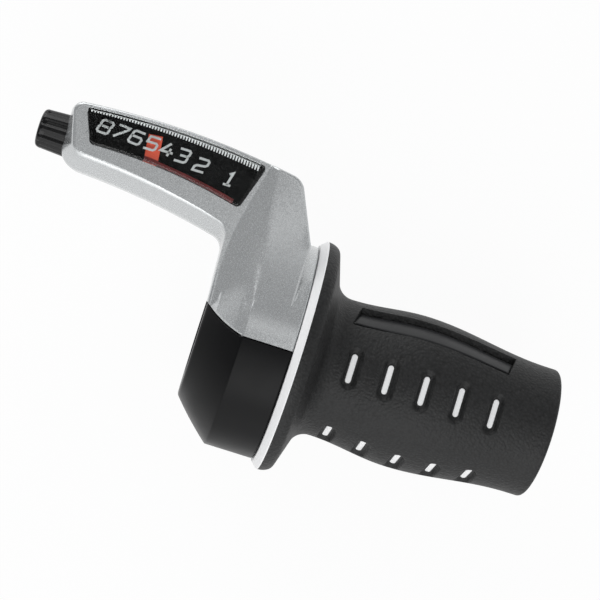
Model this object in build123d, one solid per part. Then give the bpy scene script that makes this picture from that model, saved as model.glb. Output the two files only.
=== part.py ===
from build123d import *
import os
from math import acos, asin, atan2, cos, degrees, hypot, pi, radians, sin, sqrt, tan

# Twist grip shifter for the right-hand end of a handlebar, in millimetres
# X runs along the bar with +X outboard, +Y points forward and +Z up, the way the window faces
# The origin is on the bar axis, in the plane where the white ring meets the rubber flange

# Handlebar fit
bar_diameter = 22.2
clamp_clearance = 0.05
grip_clearance = 0.10

# Running gaps between the turning grip and the housing
ring_gap = 0.12
journal_gap = 0.25
spool_end_gap = 0.50

# Grip core
core_wall = 1.75
ring_thickness = 1.68
ring_cone = 1.4
ring_overhang = 1.9
journal_radius = 14.7
grip_length = 59.2
core_end_cover = 0.8
key_count = 3
key_width = 2.4
key_height = 0.7
key_length = 6.0
key_clearance = 0.05

# Rubber sleeve, as thickness over the core
flange_thickness = 3.0
neck_rubber = 3.15
throat_radius = 4.2
belly_rubber = 4.75
end_rubber = 2.1
neck_station = 9.0
belly_station = 27.5
end_station = 56.5
end_round = 0.9
overmould_gap = 0.02

# Finger slots with white bars, in rows round the sleeve
slot_row_angle = 6.0
slot_row_step = 72.0
slot_rows = 4
slots_per_row = 5
slot_first_station = 12.2
slot_pitch = 8.2
slot_depth = 1.3
slot_mouth_length = 10.0
slot_mouth_width = 3.6
bar_length = 6.6
bar_width = 1.5

# Panel recess and its plate
panel_angle = 56.0
panel_width = 7.0
panel_length = 36.4
panel_station = 28.9
panel_slant = 1.6
panel_step = 3.8
panel_thickness = 0.6
panel_edge_gap = 0.05

# Cable spool and clicks
spool_radius = 16.0
cable_radius = 0.8
spool_flange_radius = 17.8
click_rim_radius = 18.6
click_rim_length = 3.6
spool_length = 8.4
spool_bore_gap = 0.05
click_depth = 0.9
click_half_width = 1.5
click_step = 3.65
second_gear_extra = 0.7
first_gear_extra = 2.9
top_gear = 8
rest_gear = 5

# Leaf spring that drops into the clicks
leaf_thickness = 0.5
leaf_width = 3.0
leaf_spread = 32.0
leaf_wall_gap = 0.1
leaf_nose_gap = 0.05
leaf_shoulder = 1.9
leaf_lift = 0.75
leaf_bend_radius = 0.4

# Housing collar
chamber_room = 2.9
collar_wall = 3.5
lip_thickness = 1.8
bevel_length = 9.1
bevel_bow = 0.25
end_wall = 5.05
split_height = 1.4
split_rise = 4.4
split_bow = 0.7
split_gap = 0.3

# Clamp screw under the bar, its insert, and the tongue that holds the halves together above the bar
clamp_screw_radius = 1.5
clamp_head_radius = 2.75
clamp_head_height = 3.0
clamp_hex_size = 2.5
clamp_hex_depth = 1.5
clamp_screw_length = 13.0
clamp_seat_depth = 3.5
clamp_screw_side = 1.4
clamp_screw_inset = 3.2
screw_gap = 0.15
insert_wall = 0.7
insert_length = 4.5
insert_setback = 2.6
tongue_width = 5.0
tongue_thickness = 2.0
tongue_reach = 6.0
tongue_gap = 0.1

# Pod arm and neck
pod_wall = 1.1
pod_top_wall = 2.1
pod_floor = 2.0
arm_length = 41.0
arm_reach = 40.2
arm_width = 15.7
outer_arc = 180.0
outer_apex = 41.0
lower_arc = 180.0
lower_apex = 65.0
bevel_run = 3.15
bevel_drop = 7.0
bevel_end_run = 3.6
top_edge_draft = 0.3
neck_strip = 2.8
neck_lean = 24.2
neck_flare = 1.1
neck_set_in = 0.15
outer_corner_radius = 4.0
end_corner_radius = 2.2
end_lower_radius = 5.0
top_lower_radius = 3.5
inner_corner_radius = 3.3
crest_end_rise = 1.5
crease_drift = 4.0
crest_start = 9.0
facet_set_in = 0.35
facet_turn = 20.0
facet_drift = 3.6
facet_lift = 0.5
facet_dip = 0.15

# Window lens and dial tray
lens_rim = 1.15
lens_proud = 0.5
lens_clearance = 0.08
lens_left_inset = 3.6
lens_left_slant = 3.0
lens_right_station = 18.7
lens_right_slant = 3.3
lens_width_left = 7.5
lens_width_right = 10.4
lens_low_bow = 1.25
lens_corner_radius = 1.1
lens_edge_chamfer = 0.35
tray_overlap = 1.2
tray_side_gap = 0.15
tray_wall = 0.6
tray_floor = 0.8
tray_depth = 2.7
tooth_pitch = 0.8
tooth_depth = 0.45

# Indicator strip
indicator_thickness = 0.8
indicator_gap = 0.3
indicator_arc = 137.2
indicator_apex = 52.5
marker_station = 43.4
marker_offset = 6.35
marker_width = 3.1
marker_length = 6.0
marker_tilt = 6.0
tail_width = 0.9
tail_angle = 8.6

# Cable guide, adjuster and its bushing
adjuster_inset = 9.0
adjuster_height = 5.8
guide_radius = 2.2
guide_bend_radius = 10.0
guide_lead = 4.0
cable_hole_radius = 0.95
knob_radius = 4.85
knob_tip_radius = 4.45
knob_length = 8.3
knob_tip_round = 1.1
knob_flutes = 10
flute_radius = 0.8
flute_depth = 0.35
knob_recess = 2.5
knob_side_gap = 0.3
knob_stroke = 0.8
knob_end_gap = 0.3
shank_radius = 2.5
shank_length = 12.0
shank_gap = 0.05
ferrule_radius = 2.55
ferrule_depth = 5.0
spring_wire_radius = 0.3
spring_coil_radius = 3.4
spring_turns = 3
spring_length = 4.2
bushing_radius = 4.2
bushing_length = 9.6
bushing_gap = 0.03
boss_wall = 1.25

# Underside cover and its screws
cover_gap = 0.15
cover_screw_radius = 1.0
cover_head_radius = 1.7
cover_head_height = 1.1
cover_screw_length = 8.0
cover_boss_radius = 2.2
cover_thread_gap = 0.05
cover_collar_gap = 0.4

# Radii that follow from the driving sizes
bar_radius = bar_diameter / 2
clamp_bore = bar_radius + clamp_clearance
core_bore = bar_radius + grip_clearance
core_radius = core_bore + core_wall
neck_radius = core_radius + neck_rubber
belly_radius = core_radius + belly_rubber
grip_end_radius = core_radius + end_rubber
chamber_radius = click_rim_radius + chamber_room
collar_radius = chamber_radius + collar_wall
end_radius = clamp_bore + end_wall
ring_radius = collar_radius + ring_overhang

# Stations along the bar
ring_face_x = -ring_thickness
housing_end_x = ring_face_x - ring_gap
chamber_end_x = housing_end_x - lip_thickness
chamber_length = spool_length + 2 * spool_end_gap
chamber_start_x = chamber_end_x - chamber_length
bevel_end_x = chamber_start_x
collar_start_x = bevel_end_x - bevel_length
spool_start_x = chamber_start_x + spool_end_gap
spool_end_x = spool_start_x + spool_length
click_start_x = spool_end_x - click_rim_length
groove_x = (spool_start_x + click_start_x) / 2

# Heights and places in the pod
arm_top_z = end_radius
arm_end_x = collar_start_x - arm_length
arm_low_y = arm_reach - arm_width
cavity_top_z = arm_top_z - pod_top_wall
tray_base_z = cavity_top_z - tray_depth
indicator_z = tray_base_z + tray_floor + indicator_gap
neck_right_x = housing_end_x - neck_strip
neck_left_x = collar_start_x + neck_set_in
adjuster_y = arm_reach - adjuster_inset
knob_face_x = arm_end_x + knob_recess
recess_floor_x = knob_face_x + knob_stroke + knob_end_gap
bushing_start_x = knob_face_x + spring_length
bushing_end_x = bushing_start_x + bushing_length
boss_radius = bushing_radius + boss_wall
clamp_screw_x = bevel_end_x - clamp_screw_inset
clamp_screw_z = -(clamp_bore + clamp_screw_side + clamp_screw_radius)
insert_start_y = split_height + insert_setback
insert_end_y = insert_start_y + insert_length
knob_room = knob_radius + knob_side_gap
far = 4 * collar_radius


def rod_x(radius, start, end, y=0.0, z=0.0):
    """Solid cylinder along X between two stations."""
    blank = Cylinder(radius, end - start, align=(Align.CENTER, Align.CENTER, Align.MIN))
    return Pos(start, y, z) * Rot(0, 90, 0) * blank


def rod_y(radius, start, end, x, z):
    """Solid cylinder along Y between two depths."""
    blank = Cylinder(radius, end - start, align=(Align.CENTER, Align.CENTER, Align.MIN))
    return Pos(x, start, z) * Rot(-90, 0, 0) * blank


def rod_z(radius, start, end, x, y):
    """Solid cylinder along Z between two heights."""
    blank = Cylinder(radius, end - start, align=(Align.CENTER, Align.CENTER, Align.MIN))
    return Pos(x, y, start) * blank


def outline(*lines):
    """Face bounded by the given lines and curves, end to end."""
    return make_face([edge for line in lines for edge in line.edges()])


def turned(*lines):
    """Solid turned about the bar axis from a half section."""
    return revolve(outline(*lines), axis=Axis.X)


def prism(face, low, high):
    """Plan outline drawn at height zero, raised between two heights."""
    return Pos(0, 0, low) * extrude(face, high - low, dir=(0, 0, 1))


def rounded(face, corners):
    """Plan outline with the named corners rounded, each to its own radius."""
    for point, radius in corners:
        corner = face.vertices().sort_by_distance(point)[0]
        face = fillet(corner, radius)
    return face


def sleeve_radius(x):
    """Outer radius of the rubber sleeve: cosine blends from neck to belly and from belly to end."""
    if x < belly_station:
        share = (x - neck_station) / (belly_station - neck_station)
        share = max(share, 0.0)
        return neck_radius + (belly_radius - neck_radius) * (1 - cos(pi * share)) / 2
    share = min((x - belly_station) / (end_station - belly_station), 1.0)
    return belly_radius + (grip_end_radius - belly_radius) * (1 - cos(pi * share)) / 2


def sleeve_curve(inset=0.0):
    """Profile of the sleeve from its neck to its outer end, moved inwards by the inset."""
    steps = 8
    span = end_station - neck_station
    stations = [neck_station + span * step / steps for step in range(steps + 1)]
    points = [(x, sleeve_radius(x) - inset) for x in stations]
    return Spline(*points, tangents=[(1, 0), (1, 0)])


def gear_travel(gear):
    """Cable travel at the spool, from the rest gear to the given one."""
    travel = (rest_gear - gear) * click_step
    if gear <= 2:
        travel += second_gear_extra
    if gear <= 1:
        travel += first_gear_extra
    return travel


def outer_edge_y(x, inset=0.0):
    """Forward edge of the pod arm: a wide arc with its apex over the arm."""
    run = x + outer_apex
    return arm_reach - inset - outer_arc + sqrt(outer_arc ** 2 - run ** 2)


def lower_edge_y(x, inset=0.0):
    """Rear edge of the pod arm: a wide arc that falls towards the neck."""
    run = x + lower_apex
    return arm_low_y + inset - lower_arc + sqrt(lower_arc ** 2 - run ** 2)


def pod_plan(draft, rear_run, end_run, lower_radius, inner_radius):
    """Plan of neck and arm, with the edges set in by the given amounts."""
    right_foot = (neck_right_x, 0)
    right_shoulder = (neck_right_x, collar_radius - collar_wall / 4)
    corner_x = neck_right_x
    for step in range(12):
        rise = outer_edge_y(corner_x, draft) - right_shoulder[1]
        corner_x = neck_right_x - rise * tan(radians(neck_lean))
    front_right = (corner_x, outer_edge_y(corner_x, draft))
    left_x = arm_end_x + draft
    front_left = (left_x, outer_edge_y(left_x, draft))
    middle_x = (corner_x + left_x) / 2
    front_middle = (middle_x, outer_edge_y(middle_x, draft))
    rear_left_x = arm_end_x + end_run
    rear_left = (rear_left_x, lower_edge_y(rear_left_x, rear_run))
    inner_x = neck_left_x - neck_flare
    inner_corner = (inner_x, lower_edge_y(inner_x, rear_run))
    rear_middle_x = (rear_left_x + inner_x) / 2
    rear_middle = (rear_middle_x, lower_edge_y(rear_middle_x, rear_run))
    left_foot = (neck_left_x, 0)
    face = outline(
        Line(right_foot, right_shoulder),
        Line(right_shoulder, front_right),
        ThreePointArc(front_right, front_middle, front_left),
        Line(front_left, rear_left),
        ThreePointArc(rear_left, rear_middle, inner_corner),
        Line(inner_corner, left_foot),
        Line(left_foot, right_foot),
    )
    corners = [
        (front_right, outer_corner_radius),
        (front_left, end_corner_radius),
        (rear_left, lower_radius),
        (inner_corner, inner_radius),
    ]
    return rounded(face, corners)


def pod_base_plan():
    """Plan of the pod below its bevel."""
    return pod_plan(0.0, 0.0, 0.0, end_lower_radius, inner_corner_radius)


def pod_top_plan():
    """Plan of the pod's top face, inside the bevel."""
    return pod_plan(top_edge_draft, bevel_run, bevel_end_run, top_lower_radius, inner_corner_radius)


def lens_plan():
    """Outline of the window: a bent band with slanted ends."""
    left_x = arm_end_x + lens_left_inset
    right_x = -lens_right_station
    front_left = (left_x, outer_edge_y(left_x, lens_rim))
    front_right = (right_x, outer_edge_y(right_x, lens_rim))
    middle_x = (left_x + right_x) / 2
    front_middle = (middle_x, outer_edge_y(middle_x, lens_rim))
    rear_left = (left_x + lens_left_slant, front_left[1] - lens_width_left)
    rear_right = (right_x - lens_right_slant, front_right[1] - lens_width_right)
    rear_bow = (rear_left[1] + rear_right[1]) / 2 + lens_low_bow
    rear_middle = ((rear_left[0] + rear_right[0]) / 2, rear_bow)
    face = outline(
        ThreePointArc(front_left, front_middle, front_right),
        Line(front_right, rear_right),
        ThreePointArc(rear_right, rear_middle, rear_left),
        Line(rear_left, front_left),
    )
    corners = [front_left, front_right, rear_right, rear_left]
    return rounded(face, [(point, lens_corner_radius) for point in corners])


def cavity_plan(gap=0.0):
    """Plan of the hollow inside the pod, less a fitting gap."""
    return offset(pod_top_plan(), -pod_wall - gap)


def tray_plan(inset=0.0):
    """Plan of the dial tray: the window with a margin, kept inside the pod's walls."""
    margin = offset(lens_plan(), tray_overlap - inset)
    return margin & cavity_plan(tray_side_gap + inset)


def parting_region(front, shift):
    """Everything in front of, or behind, the curved parting surface of the housing."""
    edge_y = split_height + shift
    end_y = edge_y + split_rise
    right = (far, edge_y)
    knee = (bevel_end_x, edge_y)
    end = (collar_start_x, end_y)
    middle = ((knee[0] + end[0]) / 2, (edge_y + end_y) / 2 - split_bow)
    left = (-far, end_y)
    limit = far if front else -far
    face = outline(
        Line(right, knee),
        ThreePointArc(knee, middle, end),
        Line(end, left),
        Polyline(left, (-far, limit), (far, limit), right),
    )
    return prism(face, -far, far)


def collar():
    """Turned collar round the bar: cylindrical band, bowed bevel and flat inboard end."""
    end = (collar_start_x, end_radius)
    knee = (bevel_end_x, collar_radius)
    run = knee[0] - end[0]
    rise = knee[1] - end[1]
    length = hypot(run, rise)
    middle = (
        (end[0] + knee[0]) / 2 - bevel_bow * rise / length,
        (end[1] + knee[1]) / 2 + bevel_bow * run / length,
    )
    return turned(
        Line((collar_start_x, 0), end),
        ThreePointArc(end, middle, knee),
        Polyline(knee, (housing_end_x, collar_radius), (housing_end_x, 0), (collar_start_x, 0)),
    )


def roof_section(y):
    """Cross-section under the roof at one distance forward: flat arm, rising facet and the neck's crest."""
    share = (y - crest_start) / (arm_reach - crest_start)
    start_z = sqrt(collar_radius ** 2 - crest_start ** 2)
    end_z = arm_top_z + crest_end_rise
    if share < 0:
        crest_z = sqrt(collar_radius ** 2 - y ** 2) - 2 * facet_dip
    else:
        crest_z = end_z + (start_z - end_z) * (1 - share) ** 2
    crease = (bevel_end_x - facet_dip - crease_drift * max(share, 0.0), crest_z)
    turn = max(y - facet_turn, 0.0) / (arm_reach - facet_turn)
    foot = (neck_left_x + facet_set_in + facet_drift * turn, arm_top_z)
    slope = (crest_z - arm_top_z) / (crease[0] - foot[0])
    left_x = arm_end_x - pod_wall
    face = outline(
        Line((left_x, arm_top_z), foot),
        Spline(foot, crease, tangents=[(1, facet_lift * slope), (1, slope)]),
        Polyline(crease, (0, crest_z), (0, -pod_floor), (left_x, -pod_floor), (left_x, arm_top_z)),
    )
    return Plane((0, y, 0), x_dir=(1, 0, 0), z_dir=(0, -1, 0)) * face


def pod():
    """Neck and arm: a straight base, a bevel that narrows to the top edge, and the roof over both."""
    base = pod_base_plan()
    top = pod_top_plan()
    bevel_z = arm_top_z - bevel_drop
    body = prism(base, 0, bevel_z)
    body += loft([Pos(0, 0, bevel_z) * base, Pos(0, 0, arm_top_z) * top], ruled=True)
    body += prism(top, arm_top_z, 2 * collar_radius)
    stations = [0.0, crest_start, facet_turn, 0.5 * (facet_turn + arm_reach), arm_reach + pod_wall]
    return body & loft([roof_section(y) for y in stations])


def housing_blank():
    """Collar and pod as one outer shape, before it is parted and hollowed."""
    return collar() + pod()


def spool_chamber():
    """Hollow that the spool turns in, with the opening for the grip's journal."""
    room = rod_x(chamber_radius, chamber_start_x, chamber_end_x)
    return room + rod_x(journal_radius + journal_gap, chamber_end_x, housing_end_x + ring_gap)


def clamp_tongue(gap=0.0):
    """Tongue of the rear half that reaches into the front half above the bar."""
    width = tongue_width + 2 * gap
    reach = tongue_reach + gap + split_rise
    height = tongue_thickness + 2 * gap
    blank = Box(width, reach, height, align=(Align.CENTER, Align.MIN, Align.MIN))
    return Pos(clamp_screw_x, 0, clamp_bore + clamp_screw_side - gap) * blank


def cover_places():
    """Places of the screws that hold the underside cover, in front of the cable guide."""
    stations = [bushing_end_x + 1.5 * cover_boss_radius, neck_right_x - 4.3 * cover_boss_radius]
    front_set = top_edge_draft + pod_wall + 2 * cover_gap + cover_head_radius
    return [(x, outer_edge_y(x, front_set)) for x in stations]


def cover_plan(gap=0.0):
    """Plan of the opening under the pod, from the adjuster's boss to the collar."""
    start_x = bushing_end_x + gap
    start_y = collar_radius + cover_collar_gap + gap
    window = Pos(start_x, start_y) * Rectangle(far, far, align=(Align.MIN, Align.MIN))
    return cavity_plan(gap) & window


def pod_hollow():
    """Inside of the pod, kept clear of the bar clamp, with the opening in its underside."""
    room = prism(cavity_plan(), pod_floor, cavity_top_z)
    room -= rod_x((end_radius + collar_radius) / 2, collar_start_x, chamber_start_x)
    return room + prism(cover_plan(), -pod_floor, pod_floor)


def upper_housing(blank):
    """Silver front half of the housing with the pod."""
    body = blank & parting_region(True, split_gap / 2)
    body -= pod_hollow()
    body += rod_x(boss_radius, arm_end_x + knob_recess, bushing_end_x, adjuster_y, adjuster_height)
    for x, y in cover_places():
        body += rod_z(cover_boss_radius, pod_floor, tray_base_z - indicator_gap, x, y)
    body -= spool_chamber()
    body -= rod_x(clamp_bore, collar_start_x - 2 * neck_flare, chamber_start_x + ring_gap)
    body -= prism(offset(lens_plan(), lens_clearance), cavity_top_z, 2 * arm_top_z)
    body -= rod_x(knob_room, arm_end_x - knob_length, recess_floor_x, adjuster_y, adjuster_height)
    body -= rod_x(bushing_radius + bushing_gap, recess_floor_x, bushing_end_x, adjuster_y, adjuster_height)
    for x, y in cover_places():
        body -= rod_z(cover_screw_radius + cover_thread_gap, pod_floor, cover_screw_length, x, y)
    body -= rod_y(clamp_screw_radius + insert_wall, split_height, insert_end_y, clamp_screw_x, clamp_screw_z)
    screw_end_y = clamp_screw_length - clamp_seat_depth + screw_gap
    body -= rod_y(clamp_screw_radius + screw_gap, split_height, screw_end_y, clamp_screw_x, clamp_screw_z)
    return body - clamp_tongue(tongue_gap)


def lower_clamp(blank):
    """Black rear half of the housing, with its tongue and the counterbore for the clamp screw."""
    body = blank & parting_region(False, -split_gap / 2)
    body -= spool_chamber()
    body -= rod_x(clamp_bore, collar_start_x - 2 * neck_flare, chamber_start_x + ring_gap)
    body -= rod_y(clamp_screw_radius + screw_gap, -far, far, clamp_screw_x, clamp_screw_z)
    body -= rod_y(clamp_head_radius + screw_gap, -far, -clamp_seat_depth, clamp_screw_x, clamp_screw_z)
    return body + clamp_tongue()


def clamp_screw():
    """Socket-head screw along Y, its head seated in the rear half."""
    head_y = -clamp_seat_depth - clamp_head_height
    end_y = clamp_screw_length - clamp_seat_depth
    screw = rod_y(clamp_head_radius, head_y, -clamp_seat_depth, clamp_screw_x, clamp_screw_z)
    screw += rod_y(clamp_screw_radius, -clamp_seat_depth, end_y, clamp_screw_x, clamp_screw_z)
    socket = extrude(RegularPolygon(clamp_hex_size / 2, 6, major_radius=False), clamp_hex_depth)
    return screw - Pos(clamp_screw_x, head_y, clamp_screw_z) * Rot(-90, 0, 0) * socket


def clamp_insert():
    """Brass bush with the thread for the clamp screw."""
    bush = rod_y(clamp_screw_radius + insert_wall, insert_start_y, insert_end_y, clamp_screw_x, clamp_screw_z)
    return bush - rod_y(clamp_screw_radius, insert_start_y, insert_end_y, clamp_screw_x, clamp_screw_z)


def window_lens():
    """Clear window that stands a little proud of the pod, with its upper edge broken."""
    body = prism(lens_plan(), cavity_top_z, arm_top_z + lens_proud)
    return chamfer(body.faces().sort_by(Axis.Z)[-1].edges(), lens_edge_chamfer)


def dial_tray():
    """Tray under the window, open at its neck end for the indicator's tail, with a toothed front wall."""
    floor_z = tray_base_z + tray_floor
    body = prism(tray_plan(), tray_base_z, cavity_top_z)
    body -= prism(tray_plan(tray_wall), floor_z, arm_top_z)
    mouth_x = -lens_right_station - lens_right_slant
    mouth = Box(far, far, far, align=(Align.MIN, Align.CENTER, Align.MIN))
    body -= Pos(mouth_x, 0, floor_z) * mouth
    start_x = arm_end_x + lens_left_inset + 2 * tray_wall
    count = int((mouth_x - start_x) / tooth_pitch)
    wall_inset = top_edge_draft + pod_wall + tray_side_gap + tray_wall
    foot = (-tooth_pitch / 2, 0)
    tooth = outline(Polyline(foot, (0, tooth_depth), (tooth_pitch / 2, 0), foot))
    notches = []
    for index in range(count):
        x = start_x + (index + 0.5) * tooth_pitch
        notches.append(Pos(x, outer_edge_y(x, wall_inset) - tooth_depth / 8, 0) * tooth)
    return body - [prism(notch, floor_z, arm_top_z) for notch in notches]


def indicator():
    """Red marker with a tail that bends along the tray, both on one arc about a far centre."""
    lead = indicator_apex - marker_station
    rest_y = outer_edge_y(-marker_station, marker_offset)
    centre = (-indicator_apex, rest_y - sqrt(indicator_arc ** 2 - lead ** 2))
    rest_angle = degrees(asin(lead / indicator_arc))
    middle_angle = rest_angle + tail_angle / 2
    end_angle = rest_angle + tail_angle
    inner = indicator_arc - marker_length / 2
    outer = inner + tail_width

    def on_arc(radius, angle):
        return (centre[0] + radius * sin(radians(angle)), centre[1] + radius * cos(radians(angle)))

    tail = outline(
        ThreePointArc(on_arc(inner, rest_angle), on_arc(inner, middle_angle), on_arc(inner, end_angle)),
        Line(on_arc(inner, end_angle), on_arc(outer, end_angle)),
        ThreePointArc(on_arc(outer, end_angle), on_arc(outer, middle_angle), on_arc(outer, rest_angle)),
        Line(on_arc(outer, rest_angle), on_arc(inner, rest_angle)),
    )
    marker = Pos(-marker_station, rest_y) * Rot(0, 0, marker_tilt) * Rectangle(marker_width, marker_length)
    return prism(marker + tail, indicator_z, indicator_z + indicator_thickness)


def cable_path():
    """Cable route: off the spool on a tangent, round one bend and along the arm to the adjuster."""
    reach = hypot(adjuster_y, adjuster_height)
    lead_angle = atan2(adjuster_y, adjuster_height) - acos(spool_radius / reach)
    along = Vector(0, cos(lead_angle), -sin(lead_angle))
    corner = Vector(groove_x, adjuster_y, adjuster_height)
    start = corner - along * (guide_bend_radius + guide_lead)
    end = Vector(bushing_end_x, adjuster_y, adjuster_height)
    return FilletPolyline(start, corner, end, radius=guide_bend_radius)


def cable_guide():
    """Elbow tube that leads the cable from the spool into the arm."""
    path = cable_path()
    place = Plane(path @ 0, z_dir=path % 0)
    return sweep(place * (Circle(guide_radius) - Circle(cable_hole_radius)), path=path)


def adjuster_bushing():
    """Threaded brass bushing in the boss of the arm."""
    body = rod_x(bushing_radius, bushing_start_x, bushing_end_x, adjuster_y, adjuster_height)
    return body - rod_x(shank_radius + shank_gap, bushing_start_x, bushing_end_x, adjuster_y, adjuster_height)


def barrel_adjuster():
    """Fluted knob with a threaded shank and a socket for the cable's ferrule."""
    tip_x = knob_face_x - knob_length
    round_x = tip_x + knob_tip_round
    shank_end_x = knob_face_x + shank_length
    knob = turned(
        Line((tip_x, 0), (tip_x, knob_tip_radius - knob_tip_round)),
        RadiusArc((tip_x, knob_tip_radius - knob_tip_round), (round_x, knob_tip_radius), knob_tip_round),
        Polyline(
            (round_x, knob_tip_radius), (knob_face_x, knob_radius), (knob_face_x, shank_radius),
            (shank_end_x, shank_radius), (shank_end_x, 0), (tip_x, 0),
        ),
    )
    for index in range(knob_flutes):
        angle = 360 * index / knob_flutes
        flute = rod_x(flute_radius, tip_x, knob_face_x, 0, knob_radius + flute_radius - flute_depth)
        knob -= Rot(angle, 0, 0) * flute
    knob -= rod_x(ferrule_radius, tip_x, tip_x + ferrule_depth)
    knob -= rod_x(cable_hole_radius, tip_x, shank_end_x)
    return Pos(0, adjuster_y, adjuster_height) * knob


def adjuster_spring():
    """Coil spring between the knob and the bushing."""
    height = spring_length - 2 * spring_wire_radius
    coil = Helix(height / spring_turns, height, spring_coil_radius)
    place = Plane(coil @ 0, z_dir=coil % 0)
    wire = sweep(place * Circle(spring_wire_radius), path=coil, is_frenet=True)
    return Pos(knob_face_x + spring_wire_radius, adjuster_y, adjuster_height) * Rot(0, 90, 0) * wire


def pod_cover():
    """Plate that closes the underside of the pod, with sunk holes for its screws."""
    body = prism(cover_plan(cover_gap), 0, pod_floor)
    for x, y in cover_places():
        body -= rod_z(cover_screw_radius + cover_thread_gap, 0, pod_floor, x, y)
        body -= rod_z(cover_head_radius + cover_thread_gap, 0, cover_head_height, x, y)
    return body


def cover_screw(x, y):
    """Small cheese-head screw for the underside cover."""
    body = rod_z(cover_head_radius, 0, cover_head_height, x, y)
    return body + rod_z(cover_screw_radius, cover_head_height, cover_screw_length, x, y)


def row_place(row):
    """Turn from straight up to one row of slots, backwards over the grip."""
    return Rot(slot_row_step * row - slot_row_angle, 0, 0)


def slot_places():
    """Place of each slot on the sleeve's surface, with Z outwards and X along the bar."""
    places = []
    for row in range(slot_rows):
        for index in range(slots_per_row):
            x = slot_first_station + index * slot_pitch
            places.append(row_place(row) * Pos(x, 0, sleeve_radius(x)))
    return places


def grip_bar(gap=0.0):
    """One white bar, from inside the core up to the slot's floor."""
    shape = SlotOverall(bar_length + 2 * gap, bar_width + 2 * gap, rotation=90)
    foot = core_wall / 2 - belly_radius + core_bore
    return Pos(0, 0, foot) * extrude(shape, -slot_depth - foot, dir=(0, 0, 1))


def drive_keys(gap=0.0):
    """Keys on the core that carry the spool round."""
    keys = []
    height = core_radius + key_height + gap
    for index in range(key_count):
        key = Box(key_length, key_width + 2 * gap, height, align=(Align.MIN, Align.CENTER, Align.MIN))
        keys.append(Rot(360 * index / key_count, 0, 0) * Pos(spool_start_x, 0, 0) * key)
    return keys


def grip_core():
    """White tube with its conical flange ring, the spool's journal and the bars that fill the slots."""
    end_x = grip_length - core_end_cover
    start_x = spool_start_x
    body = turned(Polyline(
        (start_x, 0), (start_x, core_radius), (spool_end_x, core_radius), (spool_end_x, journal_radius),
        (ring_face_x, journal_radius), (ring_face_x, ring_radius - ring_cone),
        (ring_face_x + ring_cone, ring_radius),
        (0, ring_radius), (0, core_radius), (end_x, core_radius), (end_x, 0), (start_x, 0),
    ))
    body += drive_keys()
    body += [place * grip_bar() for place in slot_places()]
    return body - rod_x(core_bore, start_x, end_x)


def cable_spool():
    """Ring on the core with the cable groove and the click notches round its rim."""
    bore = core_radius + spool_bore_gap
    floor = spool_radius - cable_radius
    half = spool_flange_radius - floor
    body = turned(Polyline(
        (spool_start_x, bore), (spool_start_x, spool_flange_radius), (groove_x - half, spool_flange_radius),
        (groove_x - cable_radius, floor), (groove_x + cable_radius, floor),
        (click_start_x, spool_flange_radius),
        (click_start_x, click_rim_radius), (spool_end_x - spool_bore_gap, click_rim_radius),
        (spool_end_x - spool_bore_gap, bore), (spool_start_x, bore),
    ))
    body -= drive_keys(key_clearance)
    notch = outline(Polyline(
        (-click_half_width, click_rim_radius), (0, click_rim_radius - click_depth),
        (click_half_width, click_rim_radius), (click_half_width, 2 * click_rim_radius),
        (-click_half_width, 2 * click_rim_radius), (-click_half_width, click_rim_radius),
    ))
    cutter = extrude(Plane((click_start_x, 0, 0), x_dir=(0, 1, 0), z_dir=(1, 0, 0)) * notch, click_rim_length)
    for gear in range(1, top_gear + 1):
        turn = degrees(gear_travel(gear) / spool_radius)
        body -= Rot(90 - turn, 0, 0) * cutter
    return body


def detent_spring():
    """Leaf spring across the rear of the chamber, with a bent nose in the rest gear's notch."""
    end_radius_at_wall = chamber_radius - leaf_wall_gap - leaf_thickness / 2
    end_y = -end_radius_at_wall * cos(radians(leaf_spread))
    end_z = end_radius_at_wall * sin(radians(leaf_spread))
    shoulder_y = -click_rim_radius - leaf_lift
    nose_y = -(click_rim_radius - click_depth + leaf_nose_gap + 0.6 * leaf_thickness)
    line = FilletPolyline(
        (end_y, -end_z), (shoulder_y, -leaf_shoulder), (nose_y, 0),
        (shoulder_y, leaf_shoulder), (end_y, end_z),
        radius=leaf_bend_radius,
    )
    ribbon = trace(line, line_width=leaf_thickness)
    start_x = click_start_x + (click_rim_length - leaf_width) / 2
    return extrude(Plane((start_x, 0, 0), x_dir=(0, 1, 0), z_dir=(1, 0, 0)) * ribbon, leaf_width)


def sleeve_blank():
    """Rubber sleeve as turned: flange with a coned face, concave throat, belly and rounded end."""
    rim = ring_radius
    lip_x = overmould_gap
    face_start = (flange_thickness, rim - flange_thickness / 2)
    run = neck_station - face_start[0]
    drop = face_start[1] - neck_radius - throat_radius
    lean = atan2(drop, run) + asin(throat_radius / hypot(run, drop))
    face_length = sqrt(run**2 + drop**2 - throat_radius**2)
    throat_start = (face_start[0] + face_length * cos(lean), face_start[1] - face_length * sin(lean))
    throat_end = (neck_station, neck_radius)
    face_way = (flange_thickness * cos(lean), -flange_thickness * sin(lean))
    end_start = (grip_length - end_round, grip_end_radius)
    end_finish = (grip_length, grip_end_radius - end_round)
    bore = core_radius + overmould_gap
    lip_bore = core_bore + core_wall / 3
    core_end = grip_length - core_end_cover + overmould_gap
    return turned(
        Line((lip_x, bore), (lip_x, rim)),
        Spline((lip_x, rim), face_start, tangents=[(1, 0), face_way]),
        Line(face_start, throat_start),
        RadiusArc(throat_start, throat_end, -throat_radius),
        sleeve_curve(),
        Line((end_station, grip_end_radius), end_start),
        RadiusArc(end_start, end_finish, end_round),
        Polyline(end_finish, (grip_length, lip_bore), (core_end, lip_bore), (core_end, bore), (lip_x, bore)),
    )


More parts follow.
